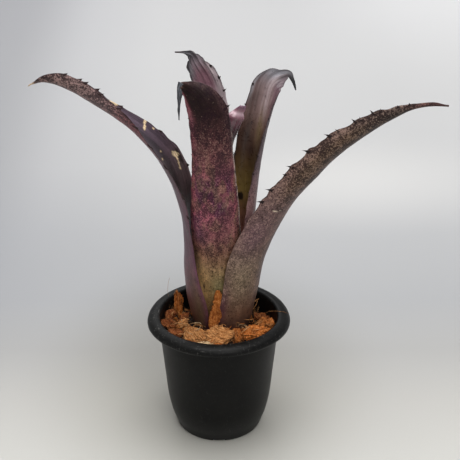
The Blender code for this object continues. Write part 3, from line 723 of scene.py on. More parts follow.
def leaf_left():
    lf = Leaf("leaf_left")
    F, U = lf.F, lf.U
    x, y = lf.flat(F, U)
    q = np.stack([x / 9, y / 16, np.zeros_like(x)], -1).reshape(-1, 3)
    wave = fbm(q, 3, 3).reshape(F.shape) * 0.45 * smooth(0.1, 0.3, F)
    ribs = 0.05 * np.sin(x * 3.1 + fbm(q * 2, 2, 4).reshape(F.shape) * 2) * smooth(0.05, 0.2, F)
    # the torn scar: a shallow dent with a raised ragged lip
    tear = np.exp(-(((F - 0.545) - 0.045 * (U + 0.72)) / 0.016) ** 2 - ((U + 0.73) / 0.10) ** 2)
    lf.push[0] += wave + ribs - 0.55 * tear + 0.35 * np.exp(-(((F - 0.545)) / 0.034) ** 2 - ((U + 0.73) / 0.17) ** 2)
    lf.push[1] += wave + ribs
    # margins: gentle waves, and small shoulders under the spines
    teeth = [(-1, 0.922, 1.5), (-1, 0.880, 1.7), (-1, 0.828, 2.0), (-1, 0.742, 1.2), (-1, 0.62, 1.3), (-1, 0.50, 1.4),
             (1, 0.935, 1.2), (1, 0.89, 1.5), (1, 0.845, 1.3), (1, 0.79, 1.4), (1, 0.73, 1.2), (1, 0.665, 1.3),
             (1, 0.60, 1.2), (1, 0.507, 2.0), (1, 0.44, 1.1)]
    for sg, f, sz in teeth:
        lf.out += np.where(np.sign(U) == sg, smooth(0.8, 1.0, np.abs(U)), 0) * 0.5 * bump(F, f, 0.011)
    lf.out += smooth(0.85, 1.0, np.abs(U)) * 0.35 * np.sin(F * 95 + 2 * np.sin(F * 31)) * smooth(0.35, 0.5, F)
    extra = [spine(lf, f, sg, sz, -0.8 * sz, (0.035, 0.018, 0.018)) for sg, f, sz in teeth]

    def paint(f, u, side, v):
        inner = keyed(f, [(0, (0.060, 0.035, 0.028)), (0.30, (0.020, 0.008, 0.009)), (0.37, (0.018, 0.008, 0.009)),
                          (0.44, (0.070, 0.040, 0.038)), (0.52, (0.088, 0.060, 0.058)), (0.60, (0.060, 0.040, 0.047)),
                          (0.68, (0.074, 0.052, 0.064)), (0.76, (0.078, 0.052, 0.064)), (0.84, (0.100, 0.074, 0.085)),
                          (1.0, (0.080, 0.050, 0.045))])
        # the near half of the channel lies deeper and is darker, the far lip catches more light
        inner = inner * (1.30 - 0.62 * smooth(-0.85, -0.1, u) + 0.9 * bump(f, 0.49, 0.07) * smooth(-0.45, -0.8, u))[:, None]
        inner = inner * np.array([0.97, 0.95, 1.08])
        outer = keyed(f, [(0, (0.090, 0.045, 0.028)), (0.10, (0.140, 0.062, 0.046)), (0.20, (0.165, 0.070, 0.074)),
                          (0.30, (0.135, 0.062, 0.084)), (0.45, (0.128, 0.065, 0.086)), (0.60, (0.125, 0.070, 0.084)),
                          (0.72, (0.185, 0.100, 0.112)), (0.84, (0.215, 0.140, 0.136)), (0.95, (0.150, 0.095, 0.088)),
                          (1.0, (0.06, 0.03, 0.026))])
        # olive flush low on the sheath, reddish flush near the bend of the blade
        outer = over(outer, (0.115, 0.085, 0.042), 0.75 * bump(f, 0.15, 0.09) * smooth(0.35, 0.9, u))
        outer = over(outer, (0.130, 0.040, 0.075), 0.65 * smooth(0.80, 0.97, u) * smooth(0.45, 0.30, f))
        outer = over(outer, (0.170, 0.040, 0.048), 0.8 * bump(f, 0.735, 0.055))
        col = np.where((side > 0.5)[:, None], outer, inner)
        n = fbm(np.stack([u * 6, f * 26, side * 3], 1), 4, 11)
        col = col * (1 + 0.28 * n)[:, None]
        vein = fbm(np.stack([u * 9, f * 2.2, side * 3 + 5], 1), 3, 15)
        col = np.where((side < 0.5)[:, None], col * (1 - 0.42 * smooth(0.02, 0.22, vein))[:, None], col)
        # tan marks
        scar = np.exp(-(((f - 0.553) - 0.075 * (u + 0.73)) / 0.0105) ** 2 - ((u + 0.74) / 0.110) ** 2)
        scar += 0.95 * np.exp(-(((f - 0.532) + 0.20 * (u + 0.71)) / 0.0095) ** 2 - ((u + 0.71) / 0.075) ** 2)
        scar += 0.45 * np.exp(-((f - 0.512) / 0.008) ** 2 - ((u + 0.665) / 0.028) ** 2)
        rag = fbm(np.stack([u * 40, f * 160, side], 1), 3, 12)
        rag2 = fbm(np.stack([u * 14, f * 60, side + 4], 1), 3, 14)
        tan = smooth(0.40, 0.56, scar + 0.30 * rag + 0.75 * rag2 * (scar > 0.05)) * (side < 0.6)
        slit = np.exp(-((f - 0.669 + 0.012 * (u + 0.8)) / 0.0036) ** 2) * smooth(-0.42, -0.60, u) * (side < 0.6)
        tan = np.maximum(tan, 0.95 * smooth(0.3, 0.6, slit + 0.1 * rag))
        edge = np.exp(-((f - 0.768) / 0.017) ** 2) * smooth(0.80, 0.97, -u)
        tan = np.maximum(tan, 0.9 * smooth(0.35, 0.65, edge + 0.12 * rag))
        dot = np.exp(-((f - 0.642) / 0.0042) ** 2 - ((u + 0.90) / 0.05) ** 2)
        dot += np.exp(-((f - 0.598) / 0.0045) ** 2 - ((u + 0.25) / 0.06) ** 2)
        dot += np.exp(-((f - 0.587) / 0.0040) ** 2 - ((u - 0.02) / 0.07) ** 2)
        tan = np.maximum(tan, 0.75 * smooth(0.35, 0.75, dot) * (side < 0.6))
        rimdark = 1.15 * np.exp(-((f - 0.540) / 0.034) ** 2 - ((u + 0.865) / 0.095) ** 2)
        col = over(col, (0.022, 0.014, 0.012), 0.8 * smooth(0.45, 0.8, rimdark + 0.3 * rag) * (side < 0.6))
        col = over(col, (0.72, 0.52, 0.28), tan)
        thread = smooth(0.992, 0.999, f)
        col = over(col, (0.62, 0.42, 0.26), thread)
        lip = smooth(0.965, 1.0, np.abs(u)) * smooth(0.4, 0.6, f) * (1 - tan)
        col = over(col, (0.040, 0.022, 0.022), 0.75 * lip)
        spk = np.where(side > 0.5, 0.52 * smooth(0.66, 0.80, f) + 0.20, 0.22) * (1 - tan)
        scf = np.where(side > 0.5, 0.25 + 0.55 * smooth(0.70, 0.82, f), 0.10 + 0.45 * smooth(0.78, 0.88, f)) * (1 - tan)
        return {"tint": col, "spk": spk, "scf": scf, "dry": np.clip(0.9 * tan + thread, 0, 1),
                "gloss": np.where(side > 0.5, 0.20, 0.38) * (1 - tan)}

    me = lf.mesh(paint, extra)
    mat = leaf_material("leaf_left_skin", (0.026, 0.012, 0.016), (0.30, 0.22, 0.21), rough=0.44, lines=0.20)
    add("leaf_left_live", me, mat, "leaf_bronze", "leaf_left")
    # the dry thread that the tip has shrunk to
    pt, t, out, norm = lf.at(0.995, 0.0)
    path = [pt - t * 1.5, pt + np.array([-0.4, 0, -0.2]), pt + np.array([-2.6, 0.1, -0.9]), pt + np.array([-4.6, 0.2, -2.6])]
    return lf, path


def leaf_right():
    lf = Leaf("leaf_right")
    F, U = lf.F, lf.U
    x, y = lf.flat(F, U)
    q = np.stack([x / 9, y / 16, np.zeros_like(x)], -1).reshape(-1, 3)
    wave = fbm(q, 3, 5).reshape(F.shape) * 0.40 * smooth(0.1, 0.3, F)
    ribs = 0.06 * np.sin(x * 2.9 + fbm(q * 2, 2, 6).reshape(F.shape) * 2) * smooth(0.05, 0.2, F)
    lf.push[0] += wave + ribs
    lf.push[1] += wave + ribs
    teeth = [(-1, 0.462, 2.9, -2.0), (-1, 0.500, 2.9, -2.0), (-1, 0.555, 1.2, -0.8), (-1, 0.584, 2.8, -2.2),
             (-1, 0.647, 3.0, -2.6), (-1, 0.713, 2.6, -2.2), (-1, 0.736, 1.7, -0.6), (-1, 0.786, 2.6, -1.0),
             (-1, 0.800, 1.6, 0.3), (-1, 0.833, 2.6, -0.7), (-1, 0.850, 1.3, 0.5), (-1, 0.890, 0.8, 0.2),
             (-1, 0.915, 0.9, 0.3), (-1, 0.40, 1.5, -1.0),
             (1, 0.43, 1.9, -1.2), (1, 0.49, 2.3, -1.6), (1, 0.545, 2.2, -1.6), (1, 0.61, 2.4, -1.8), (1, 0.67, 2.3, -1.7),
             (1, 0.735, 2.2, -1.5), (1, 0.79, 2.0, -1.2), (1, 0.845, 1.7, -0.8), (1, 0.89, 1.2, -0.3)]
    for sg, f, sz, hk in teeth:
        lf.out += np.where(np.sign(U) == sg, smooth(0.72, 1.0, np.abs(U)), 0) * 0.46 * sz * bump(F, f + 0.003, 0.0130)
    lf.out += smooth(0.85, 1.0, np.abs(U)) * 0.25 * np.sin(F * 120 + 2 * np.sin(F * 37)) * smooth(0.35, 0.5, F)
    extra = [spine(lf, f, sg, sz, hk, (0.016, 0.009, 0.009), base=2.1) for sg, f, sz, hk in teeth]

    def paint(f, u, side, v):
        outer = keyed(f, [(0, (0.075, 0.038, 0.024)), (0.06, (0.095, 0.045, 0.030)), (0.13, (0.160, 0.085, 0.055)),
                          (0.20, (0.170, 0.104, 0.076)), (0.28, (0.132, 0.082, 0.064)), (0.36, (0.130, 0.072, 0.064)),
                          (0.44, (0.145, 0.086, 0.080)), (0.54, (0.122, 0.072, 0.064)), (0.62, (0.112, 0.066, 0.056)),
                          (0.76, (0.096, 0.060, 0.053)), (0.86, (0.066, 0.044, 0.039)), (0.94, (0.048, 0.032, 0.030)),
                          (1.0, (0.050, 0.028, 0.026))])
        inner = keyed(f, [(0, (0.05, 0.028, 0.022)), (0.3, (0.070, 0.048, 0.034)), (0.5, (0.105, 0.070, 0.062)),
                          (0.8, (0.085, 0.050, 0.048)), (1.0, (0.055, 0.030, 0.028))])
        # across the outer face: painted light and shade make the upper strip paler and the middle darker; the lower
        # strip is bluish
        shade = 1.45 - 0.85 * smooth(-0.92, -0.50, u) + 0.22 * smooth(-0.1, 0.2, u)
        outer = outer * (1 + (shade - 1) * smooth(0.42, 0.60, f))[:, None]
        outer = over(outer, (0.105, 0.092, 0.105), 0.55 * smooth(-0.15, 0.12, u) * smooth(0.35, 0.55, f))
        outer = over(outer, (0.150, 0.082, 0.036), 0.42 * bump(u, -0.50, 0.30) * smooth(0.46, 0.56, f) * smooth(0.86, 0.74, f))
        # purple keel and margin low on the sheath, olive flush above it
        outer = over(outer, (0.080, 0.022, 0.042), 0.75 * bump(u, -0.93, 0.13) * bump(f, 0.15, 0.06))
        outer = over(outer, (0.135, 0.110, 0.060), 0.55 * bump(f, 0.235, 0.07) * bump(u, -0.55, 0.38))
        outer = over(outer, (0.115, 0.060, 0.085), 0.55 * bump(f, 0.36, 0.07) * bump(u, -0.62, 0.35))
        outer = over(outer, (0.095, 0.070, 0.085), 0.6 * bump(f, 0.28, 0.10) * smooth(-0.15, 0.1, u))
        outer = over(outer, (0.062, 0.026, 0.022), 0.7 * smooth(0.13, 0.04, f))
        outer = over(outer, (0.165, 0.062, 0.060), 0.60 * smooth(0.88, 0.96, f))
        col = np.where((side > 0.5)[:, None], outer, inner)
        n = fbm(np.stack([u * 6, f * 26, side * 3], 1), 4, 21)
        col = col * (1 + 0.25 * n)[:, None]
        rag = fbm(np.stack([u * 40, f * 160, side], 1), 3, 22)
        scr = np.exp(-((f - 0.4535 - 0.012 * (u + 0.43)) / 0.0017) ** 2) * smooth(-0.60, -0.53, u) * smooth(-0.27, -0.34, u) * (side > 0.5)
        scr = smooth(0.35, 0.6, scr + 0.15 * rag)
        col = over(col, (0.60, 0.50, 0.36), scr)
        lip = smooth(0.955, 1.0, np.abs(u)) * smooth(0.36, 0.5, f)
        col = over(col, (0.045, 0.026, 0.022), 0.7 * lip)
        spk = np.where(side > 0.5, 0.30 + 0.35 * smooth(0.44, 0.6, f), 0.30)
        spk = spk + 0.18 * bump(u, -0.35, 0.25) * (f > 0.45)
        spk = spk * smooth(0.02, 0.14, f) * (1 - scr)
        scf = np.where(side > 0.5, 0.72 - 0.25 * smooth(0.88, 1.0, f), 0.35) * smooth(0.08, 0.22, f) * (1 - scr)
        return {"tint": col, "spk": spk, "scf": scf, "dry": np.clip(scr + 0.35 * smooth(0.95, 1.0, f), 0, 1),
                "gloss": np.full(len(f), 0.12)}

    me = lf.mesh(paint, extra)
    mat = leaf_material("leaf_right_skin", (0.026, 0.013, 0.011), (0.36, 0.28, 0.22), rough=0.50, cell=0.62)
    add("leaf_right_live", me, mat, "leaf_bronze", "leaf_right")
    return lf


def sheet(rows, thick, cols=13, per=0.5, bow=0.6, seed=1, ragged=0.15):
    """A thin closed sheet through rows of (left point, right point), bowed outwards between them."""
    L = np.array([a for a, _ in rows], float)
    R = np.array([b for _, b in rows], float)
    n = int(np.linalg.norm(np.diff((L + R) / 2, axis=0), axis=1).sum() / per) + 2
    k = np.linspace(0, len(rows) - 1, n)
    i = np.arange(len(rows))
    soft = []
    for src in (L, R):
        g = np.stack([np.interp(k, i, src[:, c]) for c in range(3)], 1)
        for _ in range(4):
            g[1:-1] = (g[:-2] + 2 * g[1:-1] + g[2:]) / 4
        soft.append(g)
    L, R = soft
    u = np.linspace(-1, 1, cols)
    jag = fbm(np.stack([np.arange(n) * per * 0.9, np.zeros(n), np.full(n, seed * 3.1)], 1), 3, 96, 0.7)
    half = (R - L) / 2
    wid = np.linalg.norm(half, axis=1)[:, None]
    mid = (L + R) / 2
    P = mid[:, None, :] + half[:, None, :] * (u[None, :, None] * (1 + ragged * jag[:, None, None] * np.abs(u)[None, :, None] ** 3))
    up = np.gradient(mid, axis=0)
    up /= np.linalg.norm(up, axis=1)[:, None] + 1e-9
    s_ = half / (np.linalg.norm(half, axis=1)[:, None] + 1e-9)
    nn = np.cross(up, s_)
    nn *= np.sign(-nn[:, 1:2] + 1e-9)            # towards the front
    rough = fbm(np.stack([P[..., 0].ravel() * 0.5, P[..., 2].ravel() * 0.25, np.full(P[..., 0].size, seed * 5.3)], 1), 4, 97).reshape(P.shape[:2])
    lift = bow * (1 - u[None, :] ** 2) * np.minimum(wid / 3, 1) + 0.5 * rough * np.minimum(wid / 2, 1)
    t2 = thick / 2 * (1 - 0.7 * np.abs(u)[None, :] ** 4)
    F = P + nn[:, None, :] * (lift + t2)[..., None]
    B = P + nn[:, None, :] * (lift - t2)[..., None]
    ring = np.concatenate([F, B[:, ::-1]], 1)
    kk = ring.shape[1]
    q = grid_faces(n, kk, close=True)
    caps = []
    for row, flip in ((0, True), (n - 1, False)):
        b0 = row * kk
        for j in range(cols - 1):
            f4 = (b0 + j, b0 + j + 1, b0 + kk - 2 - j, b0 + kk - 1 - j)
            caps.append(f4 if not flip else f4[::-1])
    U = np.concatenate([u, u[::-1]])[None, :].repeat(n, 0).ravel()
    V = np.repeat(np.linspace(0, 1, n), kk)
    return ring.reshape(-1, 3), np.concatenate([q, np.array(caps)]), U, V


def flap_data(lf):
    """The dried tip of the front leaf: a creased grey triangle that has flopped over to the left."""
    rows = [((-25.8, -18.6, 285.0), (-17.6, -20.5, 282.6)), ((-26.5, -18.2, 281.9), (-20.4, -19.8, 280.4)),
            ((-26.8, -18.0, 278.0), (-22.3, -19.2, 277.6)), ((-26.8, -18.0, 273.4), (-23.8, -18.8, 273.4)),
            ((-26.4, -18.0, 268.1), (-24.7, -18.4, 268.1)), ((-26.1, -18.0, 262.0), (-25.2, -18.2, 262.0)),
            ((-25.8, -18.0, 256.8), (-25.5, -18.0, 256.8))]
    v, q, U, V = sheet(rows, 0.55, cols=17, per=0.4, bow=0.5, seed=5, ragged=0.06)
    v[:, 1] += 0.35 * np.sin(U * 7.0) * (1 - V)
    n = len(v)
    vein = np.abs(np.sin(U * 6.3 + 0.5)) ** 5
    col = keyed(V, [(0, (0.110, 0.120, 0.140)), (0.35, (0.150, 0.160, 0.185)), (0.7, (0.075, 0.078, 0.090)), (1, (0.030, 0.030, 0.034))])
    col = over(col, (0.016, 0.016, 0.019), 0.85 * vein * smooth(1.0, 0.6, V) + 0.5 * smooth(0.55, 0.9, U))
    col = col * (1 + 0.5 * fbm(np.stack([v[:, 0] * 0.5, v[:, 2] * 0.3, v[:, 1] * 0], 1), 3, 99))[:, None]
    data = {"tint": col, "spk": np.full(n, 0.12), "scf": np.full(n, 0.25), "dry": np.full(n, 0.45), "gloss": np.zeros(n),
            "luv": np.stack([v[:, 0], v[:, 2] + 900, np.full(n, 60.0)], 1)}
    return v, q, np.zeros((0, 3), int), data


def leaf_front():
    lf = Leaf("leaf_front", cols=61)
    F, U = lf.F, lf.U
    x, y = lf.flat(F, U)
    q = np.stack([x / 9, y / 16, np.zeros_like(x)], -1).reshape(-1, 3)
    wave = fbm(q, 3, 7).reshape(F.shape) * 0.40 * smooth(0.1, 0.3, F)
    ribs = 0.06 * np.sin(x * 3.0 + fbm(q * 2, 2, 8).reshape(F.shape) * 2) * smooth(0.05, 0.2, F)
    fold = 0.35 * np.sin(x * 1.7) * smooth(0.86, 0.93, F)
    lf.push[0] += wave + ribs + fold
    lf.push[1] += wave + ribs + fold
    teeth = [(-1, 0.60, 0.7, 0.3), (-1, 0.66, 0.8, 0.3), (-1, 0.72, 0.8, 0.3), (-1, 0.78, 0.8, 0.3),
             (1, 0.60, 0.7, 0.3), (1, 0.655, 0.8, 0.3), (1, 0.71, 0.8, 0.4), (1, 0.765, 0.9, 0.4), (1, 0.815, 0.8, 0.4)]
    lf.out += smooth(0.85, 1.0, np.abs(U)) * 0.25 * np.sin(F * 110 + 2 * np.sin(F * 33)) * smooth(0.35, 0.5, F)
    extra = [spine(lf, f, sg, sz, hk, (0.040, 0.018, 0.020), base=1.1, thick=0.3) for sg, f, sz, hk in teeth]

    def paint(f, u, side, v):
        outer = keyed(f, [(0, (0.110, 0.055, 0.024)), (0.10, (0.200, 0.100, 0.036)), (0.19, (0.230, 0.135, 0.055)),
                          (0.28, (0.185, 0.112, 0.054)), (0.34, (0.165, 0.076, 0.050)), (0.40, (0.170, 0.056, 0.062)),
                          (0.48, (0.200, 0.052, 0.076)), (0.56, (0.185, 0.046, 0.066)), (0.62, (0.135, 0.040, 0.048)),
                          (0.69, (0.085, 0.031, 0.032)), (0.76, (0.036, 0.013, 0.014)), (0.82, (0.014, 0.006, 0.006)),
                          (0.895, (0.012, 0.006, 0.006)), (0.93, (0.230, 0.215, 0.240)), (1.0, (0.080, 0.084, 0.095))])
        # the flanks turn away from the light and are paler for it
        left = smooth(-0.15, -0.70, u)
        outer = outer * (1 + 2.6 * left * bump(f, 0.245, 0.075) + 0.95 * left * smooth(0.28, 0.36, f) * smooth(0.70, 0.60, f)
                         + 1.0 * smooth(0.35, 0.9, u) * bump(f, 0.35, 0.12) + 0.45 * bump(f, 0.25, 0.09)
                         + 0.65 * bump(f, 0.47, 0.09) * smooth(0.35, -0.15, u) + 0.40 * smooth(0.55, 0.62, f) * smooth(0.80, 0.72, f))[:, None]
        # rosy margins
        rosy = smooth(-0.45, -0.98, u) * smooth(0.40, 0.62, f) * smooth(0.93, 0.88, f)
        outer = over(outer, (0.215, 0.060, 0.078), 0.80 * rosy)
        rosy2 = smooth(0.45, 0.98, u) * smooth(0.60, 0.75, f) * smooth(0.93, 0.88, f)
        outer = over(outer, (0.062, 0.034, 0.036), 0.7 * rosy2)
        # the wine-red belt and its darker clouds
        n1 = fbm(np.stack([u * 3.2, f * 16, side * 3], 1), 4, 31)
        belt = smooth(0.36, 0.46, f) * smooth(0.66, 0.56, f)
        outer = over(outer, (0.085, 0.012, 0.050), 0.85 * belt * smooth(-0.02, 0.22, n1))
        n2 = fbm(np.stack([u * 5.5, f * 30, side * 3 + 9], 1), 3, 34)
        outer = over(outer, (0.210, 0.120, 0.075), 0.55 * smooth(0.30, 0.38, f) * smooth(0.72, 0.60, f) * smooth(0.04, 0.28, n2))
        outer = over(outer, (0.050, 0.012, 0.042), 0.8 * bump(f, 0.40, 0.035) * bump(u, -0.62, 0.32))
        outer = over(outer, (0.050, 0.012, 0.030), 0.6 * bump(f, 0.49, 0.03) * bump(u, 0.25, 0.25))
        # olive tongue up the right margin
        outer = over(outer, (0.165, 0.105, 0.055), 0.65 * smooth(0.45, 0.95, u) * bump(f, 0.36, 0.09))
        outer = over(outer, (0.160, 0.120, 0.060), 0.5 * smooth(0.4, 0.9, -u) * bump(f, 0.30, 0.05))
        outer = over(outer, (0.200, 0.185, 0.085), 0.75 * bump(u, 0.05, 0.36) * bump(f, 0.225, 0.040))
        inner = keyed(f, [(0, (0.06, 0.04, 0.02)), (0.3, (0.070, 0.055, 0.025)), (0.6, (0.075, 0.040, 0.034)),
                          (0.85, (0.085, 0.045, 0.052)), (0.92, (0.13, 0.12, 0.13)), (1.0, (0.07, 0.068, 0.075))])
        col = np.where((side > 0.5)[:, None], outer, inner)
        n = fbm(np.stack([u * 6, f * 26, side * 3], 1), 4, 32)
        col = col * (1 + 0.25 * n)[:, None]
        rag = fbm(np.stack([u * 40, f * 160, side], 1), 3, 33)
        spot = np.exp(-((f - 0.217) / 0.0105) ** 2 - ((u + 0.52) / 0.055) ** 2) * (side > 0.5)
        col = over(col, (0.045, 0.030, 0.018), 0.85 * smooth(0.35, 0.6, spot + 0.1 * rag))
        # pale thin right margin
        pale = smooth(0.90, 0.96, u) * smooth(0.28, 0.36, f) * smooth(0.78, 0.66, f)
        col = over(col, (0.34, 0.27, 0.24), 0.85 * pale)
        # left strip of the head stays rosy, the rest is nearly black; a brown line marks the fold
        strip = smooth(-0.62, -0.86, u) * smooth(0.70, 0.78, f) * smooth(0.905, 0.88, f) * (side > 0.5)
        col = over(col, (0.250, 0.090, 0.110), 0.85 * strip)
        col = over(col, (0.090, 0.045, 0.035), 0.55 * bump(f, 0.900, 0.006) * (side > 0.5))
        silver = smooth(0.905, 0.935, f)
        spk = np.where(side > 0.5, keyed(f, [(0, (0.1,) * 3), (0.22, (0.26,) * 3), (0.30, (0.48,) * 3), (0.40, (0.60,) * 3),
                                             (0.55, (0.62,) * 3), (0.72, (0.66,) * 3), (0.80, (0.62,) * 3),
                                             (0.9, (0.3,) * 3), (0.93, (0.0,) * 3), (1, (0.0,) * 3)])[:, 0], 0.25)
        scf = np.where(side > 0.5, 0.54 - 0.36 * smooth(0.70, 0.82, f), 0.2) * (1 - silver)
        return {"tint": col, "spk": spk * (1 - silver), "scf": scf, "dry": 0.9 * silver,
                "gloss": 0.16 * (1 - smooth(0.62, 0.74, f))}

    extra.append(flap_data(lf))
    me = lf.mesh(paint, extra)
    mat = leaf_material("leaf_front_skin", (0.020, 0.005, 0.012), (0.300, 0.215, 0.165), rough=0.46, cell=0.72, lines=0.24, mottle=0.85, own=0.66)
    add("leaf_front_live", me, mat, "leaf_maroon", "leaf_front")
    return lf


def leaf_back_left():
    lf = Leaf("leaf_back_left")
    F, U = lf.F, lf.U
    x, y = lf.flat(F, U)
    q = np.stack([x / 8, y / 14, np.zeros_like(x)], -1).reshape(-1, 3)
    wave = fbm(q, 3, 9).reshape(F.shape) * 0.35 * smooth(0.1, 0.3, F)
    pleat = (0.75 * np.sin(x * 1.55 + 0.6) + 0.35 * np.sin(x * 3.3)) * smooth(0.80, 0.90, F) * smooth(0.99, 0.95, F)
    lf.push[0] += wave + pleat
    lf.push[1] += wave + pleat
    teeth = [(-1, 0.885, 1.1, 0.4), (-1, 0.848, 1.6, 1.0), (-1, 0.810, 1.8, 1.2), (-1, 0.762, 1.8, 1.3), (-1, 0.715, 1.5, 0.9),
             (-1, 0.665, 1.4, 0.8), (-1, 0.61, 1.3, 0.8), (-1, 0.55, 1.1, 0.6),
             (1, 0.82, 1.0, 0.5), (1, 0.77, 1.4, 0.9), (1, 0.72, 1.4, 0.9), (1, 0.66, 1.4, 0.9), (1, 0.60, 1.2, 0.7), (1, 0.54, 1.0, 0.5)]
    for sg, f, sz, hk in teeth:
        lf.out += np.where(np.sign(U) == sg, smooth(0.8, 1.0, np.abs(U)), 0) * 0.4 * sz * bump(F, f - 0.002, 0.011)
    extra = [spine(lf, f, sg, sz, hk, (0.030, 0.020, 0.020), base=1.6) for sg, f, sz, hk in teeth]

    def paint(f, u, side, v):
        inner = keyed(f, [(0, (0.06, 0.04, 0.02)), (0.3, (0.055, 0.045, 0.022)), (0.6, (0.13, 0.075, 0.08)),
                          (0.76, (0.360, 0.260, 0.280)), (0.810, (0.330, 0.210, 0.245)), (0.838, (0.215, 0.105, 0.135)),
                          (0.880, (0.205, 0.105, 0.130)), (0.915, (0.330, 0.250, 0.285)), (0.945, (0.170, 0.155, 0.170)), (0.965, (0.070, 0.070, 0.080)),
                          (1.0, (0.070, 0.040, 0.042))])
        # pale outer margin, grey dry left edge
        inner = over(inner, (0.50, 0.42, 0.44), 0.85 * smooth(-0.30, -0.80, u) * smooth(0.72, 0.78, f) * smooth(0.93, 0.88, f))
        inner = over(inner, (0.17, 0.18, 0.19), 0.8 * smooth(0.35, 0.8, u) * smooth(0.85, 0.90, f) * smooth(0.98, 0.94, f))
        inner = over(inner, (0.030, 0.026, 0.032), 0.85 * smooth(0.84, 0.95, u) * smooth(0.82, 0.87, f))
        line = np.abs(np.sin(u * 8.5 + 0.7)) ** 10
        inner = over(inner, (0.022, 0.018, 0.024), 0.9 * line * smooth(0.865, 0.91, f) * smooth(-0.15, 0.25, u))
        inner = over(inner, (0.050, 0.042, 0.045), 0.7 * smooth(0.90, 0.99, np.abs(u)) * smooth(0.8, 0.88, f))
        outer = keyed(f, [(0, (0.07, 0.045, 0.03)), (0.2, (0.11, 0.075, 0.055)), (0.4, (0.11, 0.060, 0.062)),
                          (0.65, (0.10, 0.055, 0.06)), (0.85, (0.10, 0.065, 0.075)), (0.92, (0.12, 0.11, 0.12)),
                          (1.0, (0.05, 0.03, 0.03))])
        col = np.where((side > 0.5)[:, None], outer, inner)
        n = fbm(np.stack([u * 6, f * 26, side * 3], 1), 4, 41)
        col = col * (1 + 0.22 * n)[:, None]
        dry = smooth(0.885, 0.95, f) * 0.8
        spk = np.where(side > 0.5, 0.45, 0.12) * (1 - dry)
        scf = np.where(side > 0.5, 0.5, 0.2) * (1 - dry)
        return {"tint": col, "spk": spk, "scf": scf, "dry": dry, "gloss": np.where(side > 0.5, 0.15, 0.5) * (1 - dry)}

    me = lf.mesh(paint, extra)
    mat = leaf_material("leaf_back_left_skin", (0.034, 0.014, 0.022), (0.38, 0.30, 0.32), rough=0.42, mottle=0.3)
    add("leaf_back_left_live", me, mat, "leaf_mauve", "leaf_back_left")
    return lf


